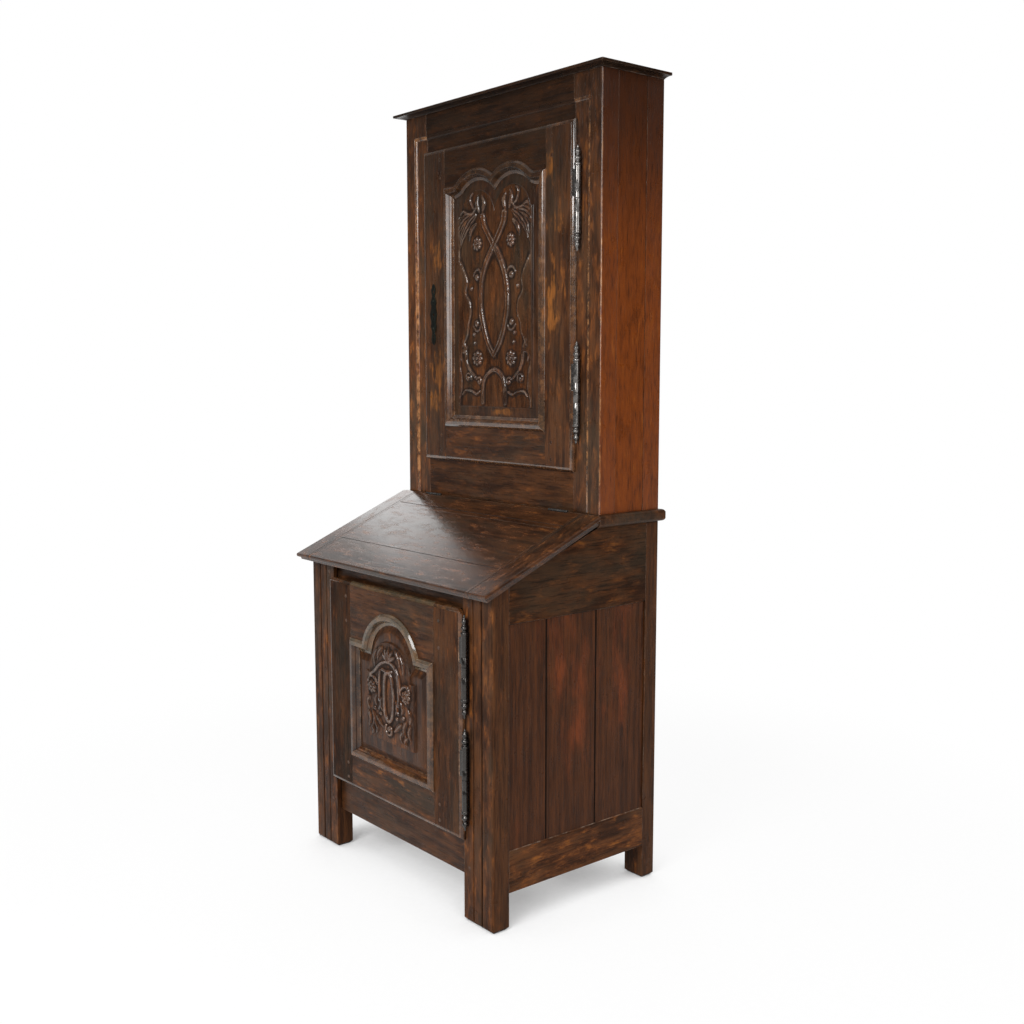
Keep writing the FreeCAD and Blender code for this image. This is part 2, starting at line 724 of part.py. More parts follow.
# Cornice: one moulded section on the front and on two returns, mitred at the corners
section = [((-cornice_seat, 0.0), None)]
for k, (out_share, up_share) in enumerate(cornice_shares):
    curve = None
    if k == 2:
        curve = (cornice_projection * cornice_hollow_share[0], cornice_height * cornice_hollow_share[1])
    section.append(((cornice_projection * out_share, cornice_height * up_share), curve))
section.append(((-cornice_seat, cornice_height), None))
reach = half_width + cornice_projection


def placed_section(along):
    def place(p):
        return along(p[0], case_height + p[1])
    return path_face(section, place)


def mitre(x0, y0, x1, y1, x2, y2):
    return prism_z(straight([(x0, y0), (x1, y1), (x2, y2)]), case_height - overrun,
                   case_height + cornice_height + overrun)


front_run = placed_section(lambda out, z: Vector(-reach, upper_front_y - out, z))
front_run = front_run.extrude(Vector(2 * reach, 0, 0))
side_run = placed_section(lambda out, z: Vector(half_width + out, upper_front_y - cornice_projection, z))
side_run = side_run.extrude(Vector(0, back_y - upper_front_y + cornice_projection, 0))
far = cornice_projection + upper_depth
corner_wedge = mitre(half_width - far, upper_front_y + far, half_width + far, upper_front_y - far,
                     half_width + far, upper_front_y + far)
parts["cornice_front"] = front_run.cut(corner_wedge).cut(mirrored(corner_wedge))
side_return = side_run.common(corner_wedge)
parts["cornice_returns"] = [side_return, mirrored(side_return)]


# Many-sided rings set one above another close up into a turned shape
def turned_shape(rings, place):
    corners = []
    for radius, height in rings:
        ring = []
        for k in range(hinge_sides):
            turn = 2 * math.pi * k / hinge_sides
            ring.append(place(radius * math.cos(turn), radius * math.sin(turn), height))
        corners.append(ring + ring[:1])
    faces = [Part.Face(Part.makePolygon(corners[0])), Part.Face(Part.makePolygon(corners[-1]))]
    for low, high in zip(corners[:-1], corners[1:]):
        for k in range(hinge_sides):
            faces.append(Part.Face(Part.makePolygon([low[k], low[k + 1], high[k + 1], high[k], low[k]])))
    solid = Part.makeSolid(Part.makeShell(faces))
    if solid.Volume < 0:
        solid.reverse()
    return solid


# Turned knuckles with finials
def knuckle(x, y, joint, direction, leaf):
    rings = [(hinge_radius, hinge_joint_gap / 2), (hinge_radius, hinge_knuckle)]
    for radius_share, height_share in hinge_finial_shares:
        rings.append((hinge_radius * radius_share, hinge_knuckle + hinge_finial * height_share))
    solid = turned_shape(rings, lambda u, v, w: Vector(x + u, y + v, joint + direction * w))
    return solid.fuse(box(*leaf)).removeSplitter()


parts["door_hinge_frame_knuckles"] = []


def hang_door(door, frame_y, x, heights, post):
    y = frame_y - hinge_stand
    half_leaf = hinge_leaf_thickness / 2
    stile = door + "_hinge_stile"
    knuckles = []
    for joint in heights:
        z0 = joint + hinge_leaf_margin
        z1 = joint + hinge_knuckle - hinge_leaf_margin
        leaf = (x - hinge_offset - hinge_leaf_reach, x, y - half_leaf, y + half_leaf, z0, z1)
        pin_top = joint + hinge_pin_reach
        bore_top = pin_top + hinge_pin_end_gap
        bore = cylinder(hinge_pin_radius + hinge_pin_play, x, y, joint - overrun, bore_top)
        knuckles.append(knuckle(x, y, joint, 1, leaf).cut(bore))
        parts[stile] = parts[stile].cut(grown(leaf, hinge_leaf_play))
        z0 = joint - hinge_knuckle + hinge_leaf_margin
        z1 = joint - hinge_leaf_margin
        leaf = (x - half_leaf, x + half_leaf, y, frame_y + hinge_leaf_reach, z0, z1)
        pin = cylinder(hinge_pin_radius, x, y, joint - hinge_leaf_margin, pin_top)
        parts["door_hinge_frame_knuckles"].append(knuckle(x, y, joint, -1, leaf).fuse(pin))
        parts[post] = parts[post].cut(grown(leaf, hinge_leaf_play))
    parts[door + "_knuckles"] = knuckles


# A lipped door: moulded frame of four members round a shaped raised panel
def make_door(door, frame_y, half, z0, z1, lap, corner_round, outline, field, field_rise):
    face_y = frame_y - door_lip_gap - door_lip
    lip_back = frame_y - door_lip_gap
    frame_back = frame_y + door_rebate
    panel_y = face_y + panel_set_back
    crest_y = face_y - moulding_rise

    # Lip with a rounded edge and a fine quirk, on a rebated back
    quirk_y = face_y + door_quirk_depth
    lip_points = [(0.0, lip_back)]
    for inset_share, depth_share in door_edge_shares:
        lip_points.append((door_edge_round * inset_share, quirk_y + door_edge_round * depth_share))
    lip_points.append((door_edge_round + door_quirk_width, quirk_y))
    lip_points.append((door_edge_round + door_quirk_width, face_y))
    lip = edged_slab(-half, half, z0, z1, straight(lip_points))
    turn = corner_round * (1 - math.sqrt(0.5))
    plan = [((-half, z0), None), ((half, z0), None), ((half, z1 - corner_round), None),
            ((half - corner_round, z1), (half - turn, z1 - turn)), ((corner_round - half, z1), None),
            ((-half, z1 - corner_round), (turn - half, z1 - turn))]
    lip = lip.common(prism_y(plan, face_y - overrun, frame_back + overrun))
    inner = lap + door_side_play
    rebate = box(inner - half, half - inner, lip_back, frame_back, z0 + inner, z1 - inner)

    # Moulding round the opening
    rise_points = [(0.0, (face_y + lip_back) / 2)]
    for inset_share, rise_share in moulding_outer_shares:
        rise_points.append((moulding_width * inset_share, face_y - moulding_rise * rise_share))
    fall = panel_y - crest_y
    fall_points = []
    for inset_share, rise_share in moulding_inner_shares:
        fall_points.append((moulding_width * inset_share, panel_y - fall * rise_share))
    fall_points.append((fall_points[-1][0], crest_y - overrun))
    groove_y0 = panel_y - joint_play
    groove_y1 = panel_y + panel_thickness + joint_play
    groove_inset = moulding_width - panel_tongue - panel_margin
    blank = joined([lip, rebate, shaped(outline, straight(rise_points))])
    blank = blank.cut(shaped(outline, straight(fall_points)))
    blank = blank.cut(shaped(outline, level(moulding_width, groove_y0, frame_back + overrun)))
    blank = blank.cut(shaped(outline, level(groove_inset, groove_y0, groove_y1)))

    # Two stiles and two rails, mitred across the moulding
    outer = outline["half"]
    sight = outer - moulding_width
    base_out = outline["base"]
    base_in = base_out + moulding_width
    top_out = outline["top"]
    top_in = top_out - moulding_width
    low_end = z0 - overrun
    high_end = z1 + overrun
    side_end_x = half + overrun
    stile_path = straight([(side_end_x, low_end), (outer, low_end), (outer, base_out), (sight, base_in),
                           (sight, top_in), (outer, top_out), (outer, high_end), (side_end_x, high_end)])
    base_path = straight([(-outer, low_end), (outer, low_end), (outer, base_out), (sight, base_in),
                          (-sight, base_in), (-outer, base_out)])
    top_path = straight([(-outer, high_end), (outer, high_end), (outer, top_out), (sight, top_in),
                         (-sight, top_in), (-outer, top_out)])
    ends = (crest_y - overrun, frame_back + overrun)
    stile_prism = prism_y(stile_path, ends[0], ends[1])
    parts[door + "_hinge_stile"] = blank.common(stile_prism)
    parts[door + "_lock_stile"] = blank.common(mirrored(stile_prism))
    parts[door + "_bottom_rail"] = blank.common(prism_y(base_path, ends[0], ends[1]))
    parts[door + "_top_rail"] = blank.common(prism_y(top_path, ends[0], ends[1]))

    # Pegged tenons
    tenon_y = panel_y + (panel_thickness - tenon_thickness) / 2
    for rail, low, high in [("_bottom_rail", z0, base_out), ("_top_rail", top_out, z1)]:
        for sign, stile in [(-1, "_lock_stile"), (1, "_hinge_stile")]:
            xs = sorted([sign * outer, sign * (outer + door_tenon_length)])
            shoulder = (high - low) * door_tenon_shoulder_share
            limits = (xs[0], xs[1], tenon_y, tenon_y + tenon_thickness, low + shoulder, high - shoulder)
            tenon(door + rail, door + stile, limits)
            for z in peg_heights(low, high):
                members = [door + rail, door + stile]
                peg(door + "_pegs", members, sign * (outer + peg_inset), face_y, z, back)

    # Raised panel held in the groove
    bevel_y = panel_y - field_rise * panel_bevel_share
    bevel_end = panel_bevel_inset + panel_bevel_width
    mid_y = panel_y + panel_thickness / 2
    bevel_path = straight([(panel_bevel_inset, mid_y), (panel_bevel_inset, panel_y), (bevel_end, bevel_y)])
    field_path = straight([(0.0, mid_y), (0.0, bevel_y), (panel_step, panel_y - field_rise)])
    tongue = shaped(outline, level(moulding_width - panel_tongue, panel_y, panel_y + panel_thickness))
    parts[door + "_panel"] = joined([tongue, shaped(outline, bevel_path), shaped(field, field_path)])


make_door("lower_door", front_y, lower_door_half, lower_door_bottom, lower_door_top, lower_door_lap,
          lower_door_corner, lower_panel, lower_field, lower_field_rise)
make_door("upper_door", upper_frame_y, upper_door_half, upper_door_bottom, upper_door_top, upper_door_lap,
          upper_door_corner, upper_panel, upper_field, upper_field_rise)
hang_door("lower_door", front_y, lower_door_half + hinge_offset, lower_hinge_heights,
          "lower_right_front_post")
hang_door("upper_door", upper_frame_y, upper_door_half + hinge_offset, upper_hinge_heights,
          "upper_right_front_post")

# Pegs of the case joints
for name, (z0, z1) in front_rails.items():
    for sign, side in [(-1, "left"), (1, "right")]:
        z = peg_heights(z0, z1)[0]
        members = [name, "lower_%s_front_post" % side]
        peg("case_pegs", members, sign * (lower_opening_half + peg_inset), front_y, z, back)

# Slanted lid, built level with its hinge line at the origin and then tilted
lid_half = half_width + lid_side_overhang
nose = []
for inset_share, height_share in lid_nose_shares:
    nose.append((lid_thickness * inset_share, lid_thickness * (height_share - 1)))


def nose_points(origin, sign):
    return straight([(origin + sign * inset, height) for inset, height in nose])


lid_across = nose_points(-lid_half, 1) + turned_back(nose_points(lid_half, -1))
lid_down = nose_points(-lid_length, 1) + straight([(overrun, 0.0), (overrun, -lid_thickness)])
lid_blank = prism_y(lid_across, -lid_length, overrun)
lid_blank = lid_blank.common(prism_x(lid_down, -lid_half, lid_half))
tilt = FreeCAD.Rotation(Vector(1, 0, 0), math.degrees(lid_slope))
lid_place = FreeCAD.Placement(Vector(0, hinge_line_y, waist_height), tilt)


def lid_box(x0, x1, y0, y1):
    return box(x0, x1, y0, y1, -lid_thickness - overrun, overrun)


lid_sight = lid_half - lid_stile
panel_front = lid_front_rail - lid_length
panel_back = -lid_back_rail
tongue_z = -(lid_thickness + lid_tongue_thickness) / 2
lid_groove = (-lid_sight - lid_tongue - tongue_play, lid_sight + lid_tongue + tongue_play,
              panel_front - lid_tongue - tongue_play, panel_back + lid_tongue + tongue_play,
              tongue_z, tongue_z + lid_tongue_thickness)
lid_frame = lid_blank.cut(lid_box(-lid_sight, lid_sight, panel_front, panel_back))
lid_frame = lid_frame.cut(grown(lid_groove, joint_play))
right_stile = lid_frame.common(lid_box(lid_sight, lid_half + overrun, -lid_length - overrun, overrun))
left_stile = mirrored(right_stile)
front_rail = lid_frame.common(lid_box(-lid_sight, lid_sight, -lid_length - overrun, panel_front))
back_rail = lid_frame.common(lid_box(-lid_sight, lid_sight, panel_back, overrun))
for sign in [-1, 1]:
    xs = sorted([sign * lid_sight, sign * (lid_sight + lid_tenon)])
    for y0, y1, which in [(-lid_length, panel_front, "front"), (panel_back, 0.0, "back")]:
        limits = (xs[0], xs[1], y0 + tenon_shoulder, y1 - tenon_shoulder, tongue_z,
                  tongue_z + lid_tongue_thickness)
        if which == "front":
            front_rail = front_rail.fuse(box(*limits)).removeSplitter()
        else:
            back_rail = back_rail.fuse(box(*limits)).removeSplitter()
        right_stile = right_stile.cut(grown(limits, joint_play))
        left_stile = left_stile.cut(grown(limits, joint_play))
lid_panel = box(-lid_sight, lid_sight, panel_front, panel_back, -lid_thickness, 0)
lid_tongues = box(-lid_sight - lid_tongue, lid_sight + lid_tongue, panel_front - lid_tongue,
                  panel_back + lid_tongue, tongue_z, tongue_z + lid_tongue_thickness)
lid_panel = lid_panel.fuse(lid_tongues).removeSplitter()
behind_lid = box(-case_width, case_width, hinge_line_y, back_y, 0, case_height)
lid_parts = {"lid_stiles": [left_stile, right_stile], "lid_front_rail": [front_rail],
             "lid_back_rail": [back_rail], "lid_panel": [lid_panel]}
for name, shapes in lid_parts.items():
    tilted = []
    for shape in shapes:
        moved = shape.copy()
        moved.Placement = lid_place.multiply(moved.Placement)
        tilted.append(moved.cut(behind_lid))
    parts[name] = tilted

# Butt hinges of the lid, with their knuckles on the hinge line
third = lid_hinge_length / 3
pin_y = hinge_line_y + lid_back_gap / 2
leaf_base = waist_height - lid_hinge_leaf_drop
leaf_top = waist_height - lid_hinge_radius - lid_hinge_play
lid_leaf_y = hinge_line_y - lid_hinge_leaf
case_leaf_y = waist_front_y + lid_hinge_leaf


def round_bar(x0, x1, radius):
    return Part.makeCylinder(radius, x1 - x0, Vector(x0, pin_y, waist_height), Vector(1, 0, 0))


def barrel(x0, x1):
    rings = [(lid_hinge_radius, x0), (lid_hinge_radius, x1)]
    return turned_shape(rings, lambda u, v, w: Vector(w, pin_y + u, waist_height + v))


lid_leaves = []
case_leaves = []
lid_hinge_offset = lid_sight * lid_hinge_share
for centre in [-lid_hinge_offset, lid_hinge_offset]:
    x0 = centre - lid_hinge_length / 2
    x1 = x0 + third
    x2 = x1 + third
    x3 = x2 + third
    bore = round_bar(x0 - overrun, x3 + overrun, lid_hinge_pin_radius + hinge_pin_play)
    clear = round_bar(x0 - lid_hinge_play, x3 + lid_hinge_play, lid_hinge_radius + lid_hinge_play)
    middle_x0 = x1 + lid_hinge_play
    middle_x1 = x2 - lid_hinge_play
    lid_link = box(middle_x0, middle_x1, lid_leaf_y, pin_y, leaf_base, waist_height)
    lid_plate = box(x0, x3, lid_leaf_y, hinge_line_y, leaf_base, leaf_top)
    lid_leaves.append(joined([barrel(middle_x0, middle_x1), lid_link, lid_plate]).cut(bore))
    case_pieces = [box(x0, x3, waist_front_y, case_leaf_y, leaf_base, leaf_top)]
    for start, end in [(x0, x1), (x2, x3)]:
        case_pieces.append(barrel(start, end))
        case_pieces.append(box(start, end, pin_y, case_leaf_y, leaf_base, waist_height))
    case_pieces.append(round_bar(x1 - lid_hinge_play, x2 + lid_hinge_play, lid_hinge_pin_radius))
    case_leaves.append(joined(case_pieces))
    lid_seat = grown((x0, x3, lid_leaf_y, hinge_line_y, leaf_base, waist_height), lid_hinge_play)
    case_seat = grown((x0, x3, waist_front_y, case_leaf_y, leaf_base, waist_height), lid_hinge_play)
    parts["lid_back_rail"] = [parts["lid_back_rail"][0].cut(clear).cut(lid_seat)]
    parts["waist_board"] = parts["waist_board"].cut(clear).cut(case_seat)
parts["lid_hinge_lid_leaves"] = lid_leaves
parts["lid_hinge_case_leaves"] = case_leaves

# Lock on the back of the upper door, with its sliding bolt and the keeper on the post
lock_x = lock_inset - upper_door_half
lock_y0 = upper_frame_y + door_rebate
lock_y1 = lock_y0 + lock_case_depth
lock_x0 = door_side_play + lock_edge_gap - upper_opening_half
lock_x1 = lock_x0 + lock_case_width
lock_z0 = lock_height - lock_case_height / 2
lock_z1 = lock_height + lock_case_height / 2
wall = lock_case_wall
lock = box(lock_x0, lock_x1, lock_y0, lock_y1, lock_z0, lock_z1)
lock = lock.cut(box(lock_x0 + wall, lock_x1 - wall, lock_y0 - overrun, lock_y1 - wall, lock_z0 + wall,
                    lock_z1 - wall))
bolt_y0 = lock_y0 + (lock_case_depth - wall - bolt_thickness) / 2
bolt_y1 = bolt_y0 + bolt_thickness
bolt_z0 = lock_height + bolt_height / 2
bolt_z1 = bolt_z0 + bolt_height
bolt_way = grown((lock_x0 - overrun, lock_x0 + wall, bolt_y0, bolt_y1, bolt_z0, bolt_z1), bolt_play)
parts["lock_case"] = lock.cut(bolt_way)
parts["lock_bolt"] = box(lock_x0, lock_x0 + bolt_length, bolt_y0, bolt_y1, bolt_z0, bolt_z1)
post_x = -upper_opening_half
keeper_z = (bolt_z0 + bolt_z1) / 2
keeper_y = (bolt_y0 + bolt_y1) / 2
slot = grown((post_x - keeper_slot_depth, post_x + overrun, bolt_y0, bolt_y1, bolt_z0, bolt_z1), bolt_play)
keeper_limits = (post_x - keeper_thickness, post_x, keeper_y - keeper_width / 2, keeper_y + keeper_width / 2,
                 keeper_z - keeper_height / 2, keeper_z + keeper_height / 2)
parts["lock_keeper"] = box(*keeper_limits).cut(slot)
keeper_seat = grown(keeper_limits, joint_play)
parts["upper_left_front_post"] = parts["upper_left_front_post"].cut(slot).cut(keeper_seat)

# Pierced escutcheon and the keyhole behind it
plate_y1 = upper_frame_y - door_lip_gap - door_lip
plate_y0 = plate_y1 - escutcheon_thickness
tall = escutcheon_height / 2
wide = escutcheon_width / 2
quarter = [(wide * width_share, tall * height_share) for width_share, height_share in escutcheon_shares]
right_edge = [(0.0, tall)] + quarter + [(wide, 0.0)] + [(x, -z) for x, z in reversed(quarter)]
left_edge = [(-x, -z) for x, z in right_edge]
plate_path = straight([(lock_x + x, lock_height + z) for x, z in right_edge + left_edge])


def hole_y(radius, x, z, y0, y1):
    return Part.makeCylinder(radius, y1 - y0, Vector(x, y0, z), Vector(0, 1, 0))


plate = prism_y(plate_path, plate_y0, plate_y1)
hole_y0 = plate_y0 - overrun
hole_y1 = lock_y0 + overrun
keyhole = hole_y(keyhole_radius, lock_x, lock_height, hole_y0, hole_y1)
slot_half = keyhole_slot_width / 2
keyhole = keyhole.fuse(box(lock_x - slot_half, lock_x + slot_half, hole_y0, hole_y1,
                           lock_height - keyhole_slot_length, lock_height))
plate = plate.cut(keyhole)
for sign in [-1, 1]:
    z = lock_height + sign * tall * escutcheon_eye_share
    across = wide * escutcheon_pierce_share
    pierced = straight([(lock_x, z - 2 * across), (lock_x + across, z), (lock_x, z + 2 * across),
                        (lock_x - across, z)])
    plate = plate.cut(prism_y(pierced, hole_y0, hole_y1))
parts["escutcheon"] = plate
parts["upper_door_lock_stile"] = parts["upper_door_lock_stile"].cut(keyhole)

# The frame of the whole cabinet: origin on the floor at the middle of its outer box
extent = FreeCAD.BoundBox()
for shapes in parts.values():
    for shape in shapes if isinstance(shapes, list) else [shapes]:
        extent.add(shape.BoundBox)
centre_y = (extent.YMin + extent.YMax) / 2
for name, shapes in parts.items():
    solids = []
    for shape in shapes if isinstance(shapes, list) else [shapes]:
        solids += shape.Solids
    whole = solids[0] if len(solids) == 1 else Part.makeCompound(solids)
    whole.translate(Vector(0, -centre_y, 0))
    whole.exportStep("parts/%s.step" % name)
    print(name, len(solids), "valid" if whole.isValid() else "NOT VALID", round(whole.Volume / 1000.0, 1))
print("nodes", len(parts), "extent", extent, "shift", -centre_y)
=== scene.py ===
import json
import math

import bmesh
import bpy
import numpy as np
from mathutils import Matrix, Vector


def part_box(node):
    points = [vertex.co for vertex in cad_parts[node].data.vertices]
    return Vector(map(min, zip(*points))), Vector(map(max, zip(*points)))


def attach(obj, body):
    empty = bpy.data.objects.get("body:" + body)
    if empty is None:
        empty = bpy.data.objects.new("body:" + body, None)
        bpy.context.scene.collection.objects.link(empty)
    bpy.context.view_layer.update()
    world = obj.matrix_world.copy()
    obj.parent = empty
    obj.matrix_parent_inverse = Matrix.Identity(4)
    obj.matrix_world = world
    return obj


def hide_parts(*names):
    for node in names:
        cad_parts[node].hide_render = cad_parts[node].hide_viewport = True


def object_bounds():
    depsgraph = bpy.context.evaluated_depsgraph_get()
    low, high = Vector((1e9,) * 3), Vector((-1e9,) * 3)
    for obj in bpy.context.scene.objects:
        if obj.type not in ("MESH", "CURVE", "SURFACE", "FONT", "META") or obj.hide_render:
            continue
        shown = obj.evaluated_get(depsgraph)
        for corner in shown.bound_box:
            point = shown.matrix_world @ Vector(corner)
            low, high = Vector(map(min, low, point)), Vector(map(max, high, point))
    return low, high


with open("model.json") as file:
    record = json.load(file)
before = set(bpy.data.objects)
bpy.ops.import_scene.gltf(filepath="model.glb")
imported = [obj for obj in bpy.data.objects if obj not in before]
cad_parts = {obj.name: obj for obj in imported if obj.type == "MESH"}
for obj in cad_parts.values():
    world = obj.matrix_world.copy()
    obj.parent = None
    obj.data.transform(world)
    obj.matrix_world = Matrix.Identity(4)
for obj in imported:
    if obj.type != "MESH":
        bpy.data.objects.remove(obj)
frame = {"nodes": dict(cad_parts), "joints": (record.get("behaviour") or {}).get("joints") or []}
cad_low, cad_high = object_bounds()
nodes = frame["nodes"]
scene = bpy.context.scene
mm = 0.001

# Camera of the photograph, found from the cabinet's corners
camera_place = Vector((2.3488, -1.8338, 1.2520))
camera_turn = 50.165
camera_dip = 6.814
camera_lens = 42.07
sensor_width = 36.0

# Finish of the edges
edge_round = 0.7 * mm
edge_segments = 2
edge_angle = 32.0
smooth_angle = 38.0
weld_reach = 0.02 * mm

# Colours, as linear light
oak_dark = (0.026, 0.0095, 0.0036, 1.0)
oak_brown = (0.076, 0.0285, 0.0100, 1.0)
oak_red = (0.125, 0.0390, 0.0110, 1.0)
oak_orange = (0.330, 0.1150, 0.0200, 1.0)
oak_edge = (0.300, 0.205, 0.1400, 1.0)
# Pale tint of rubbed mouldings, partly real wear and partly painted highlight
oak_rubbed_and_highlight = (0.300, 0.135, 0.0480, 1.0)
oak_film = (0.040, 0.0300, 0.0190, 1.0)
# Dark tint of dirt in pores, streaks, joints and cracks, also laid as painted shade in hollows, in reeds and towards
# the top
oak_dirt_and_shade = (0.0045, 0.0026, 0.0016, 1.0)
oak_dust = (0.070, 0.056, 0.0330, 1.0)
board_warm = (0.180, 0.0400, 0.0100, 1.0)
side_high = (0.098, 0.0250, 0.0060, 1.0)
side_low = (0.165, 0.0380, 0.0060, 1.0)
side_streak = (0.080, 0.0195, 0.0042, 1.0)
side_bright = (0.260, 0.0720, 0.0100, 1.0)
oak_raw = (0.105, 0.058, 0.030, 1.0)
oak_raw_dark = (0.050, 0.027, 0.014, 1.0)
oak_raw_pale = (0.170, 0.105, 0.058, 1.0)
iron_dark = (0.130, 0.122, 0.115, 1.0)
iron_worn = (0.420, 0.400, 0.380, 1.0)
iron_black = (0.030, 0.027, 0.025, 1.0)
iron_rust = (0.060, 0.026, 0.012, 1.0)
plate_dark = (0.010, 0.012, 0.010, 1.0)
plate_worn = (0.040, 0.046, 0.036, 1.0)


def shaded(color, shade):
    return (color[0] * shade, color[1] * shade, color[2] * shade, 1.0)


def made(item, **settings):
    for key, value in settings.items():
        setattr(item, key, value)
    return item


# Node trees
hollow_samples = 6


class Tree:
    """A node tree, built call by call."""

    def __init__(self, tree):
        self.nodes = tree.nodes
        self.links = tree.links

    def add(self, kind, inputs=None, **settings):
        item = made(self.nodes.new(kind), **settings)
        for socket, value in (inputs or {}).items():
            self.put(item.inputs[socket], value)
        return item

    def put(self, socket, value):
        if isinstance(value, bpy.types.NodeSocket):
            self.links.new(value, socket)
        else:
            socket.default_value = value

    def math(self, operation, first, second=0.0):
        return self.add("ShaderNodeMath", {0: first, 1: second}, operation=operation).outputs[0]

    def times(self, first, second):
        return self.math("MULTIPLY", first, second)

    def plus(self, first, second):
        return self.math("ADD", first, second)

    def flip(self, value):
        return self.math("SUBTRACT", 1.0, value)

    def span(self, value, low, high, to_low=0.0, to_high=1.0):
        inputs = {"Value": value, "From Min": low, "From Max": high, "To Min": to_low, "To Max": to_high}
        return self.add("ShaderNodeMapRange", inputs, interpolation_type="SMOOTHSTEP").outputs[0]

    def mix(self, factor, first, second):
        return self.add("ShaderNodeMix", {0: factor, 6: first, 7: second}, data_type="RGBA").outputs[2]

    def layer(self, color, mask, share, tint):
        """A tint laid over a colour where a mask says, up to its share."""
        return self.mix(self.times(mask, share), color, tint)

    def greatest(self, masks):
        whole = masks[0]
        for mask in masks[1:]:
            whole = self.math("MAXIMUM", whole, mask)
        return whole

    def total(self, parts):
        """The sum of values, each times its weight."""
        whole = self.times(*parts[0])
        for value, weight in parts[1:]:
            whole = self.plus(whole, self.times(value, weight))
        return whole

    def noise(self, vector, scale, detail, roughness=0.55, distortion=0.0):
        inputs = {"Vector": vector, "Scale": scale, "Detail": detail, "Roughness": roughness, "Distortion": distortion}
        return self.add("ShaderNodeTexNoise", inputs).outputs[0]

    def stretched(self, vector, scale):
        return self.add("ShaderNodeMapping", {"Vector": vector, "Scale": scale}).outputs[0]

    def moved_by_island(self, vector, reach):
        island = self.add("ShaderNodeNewGeometry").outputs["Random Per Island"]
        shift = self.add("ShaderNodeVectorMath", {0: reach, "Scale": island}, operation="SCALE").outputs[0]
        return self.add("ShaderNodeVectorMath", {0: vector, 1: shift}, operation="ADD").outputs[0]

    def facing(self, axis):
        """Strong where the surface faces along an axis, to either side."""
        normal = self.add("ShaderNodeNewGeometry").outputs["Normal"]
        part = self.add("ShaderNodeSeparateXYZ", {0: normal}).outputs[axis]
        return self.span(self.math("ABSOLUTE", part), 0.60, 0.90)

    def hollows(self, distance, samples=hollow_samples):
        item = self.add("ShaderNodeAmbientOcclusion", {"Distance": distance}, samples=samples)
        return self.flip(item.outputs["AO"])

    def edges(self, distance):
        item = self.add("ShaderNodeAmbientOcclusion", {"Distance": distance}, samples=hollow_samples, inside=True,
                        only_local=True)
        return self.flip(item.outputs["AO"])

    def bumped(self, height, distance):
        inputs = {"Height": height, "Distance": distance, "Strength": 1.0}
        return self.add("ShaderNodeBump", inputs).outputs["Normal"]


class Material(Tree):
    """A material's tree, which places its patterns by the object's own coordinates."""

    def __init__(self, name):
        self.material = bpy.data.materials.new(name)
        self.material.use_nodes = True
        super().__init__(self.material.node_tree)
        self.surface = self.nodes["Principled BSDF"]
        self.place = self.add("ShaderNodeTexCoord").outputs["Object"]

    def height(self, axis):
        return self.add("ShaderNodeSeparateXYZ", {0: self.place}).outputs[axis]

    def finish(self, color, roughness, normal=None, **sockets):
        self.put(self.surface.inputs["Base Color"], color)
        self.put(self.surface.inputs["Roughness"], roughness)
        if normal is not None:
            self.put(self.surface.inputs["Normal"], normal)
        for name, value in sockets.items():
            self.put(self.surface.inputs[name.replace("_", " ").title().replace("Ior", "IOR")], value)
        return self.material


# Oak
def along_axis(stretch):
    short = 1 / stretch
    return {"x": (short, 1.0, 1.0), "y": (1.0, short, 1.0), "z": (1.0, 1.0, short)}


grain_axes = along_axis(16.0)
patch_axes = along_axis(3.2)
split_axes = along_axis(26.0)
island_reach = (3.1, 5.3, 7.7)
# How far the painted shade in hollows, in reeds and in the inside's corners looks
hollow_reach = 14.0 * mm
reed_reach = 6.0 * mm
raw_hollow_reach = 24.0 * mm
raw_edge_reach = 3.0 * mm
oak_bump = 0.55 * mm
raw_bump = 0.6 * mm
wax_roughness = 0.10
wax_ior = 1.75
# Painted shade towards the top of the case, as under the cornice: how much it wanders, where it starts and where it is
# full
top_shade_wander = 0.12
top_shade_start = cad_high.z * 0.80
top_shade_end = cad_high.z * 1.02

# How fine each pattern of the oak is, and how thickly each layer of colour lies
ring_count = 95.0
scales = {"rings": 7.0, "streaks": 105.0, "pores": 380.0, "broad": 20.0, "patch": 62.0, "film": 9.0, "black": 48.0,
          "rub": 46.0, "haze": 21.0, "ripple": 15.0, "split": 13.0, "split_area": 5.0, "stain": 4.5, "cloud": 15.0}
covers = {"red": 0.62, "orange": 0.40, "film": 0.50, "glow": 0.58, "top_shade": 0.62, "black": 0.30, "pores": 0.45,
          "edge": 0.50, "hollow_shade": 0.75, "seam": 0.85}


def grain(tree, axis):
    """Rings, streaks and open pores along one axis, and the coordinates that they are drawn in."""
    place = tree.moved_by_island(tree.place, island_reach)
    along = tree.stretched(place, grain_axes[axis])
    field = tree.noise(along, scales["rings"], 2.0, 0.45, 0.35)
    rings = tree.span(tree.math("SINE", tree.times(field, ring_count)), -1.0, 1.0)
    streaks = tree.noise(along, scales["streaks"], 4.0, 0.6)
    pores = tree.span(tree.noise(along, scales["pores"], 2.0, 0.5), 0.53, 0.68)
    return rings, streaks, pores, along, place


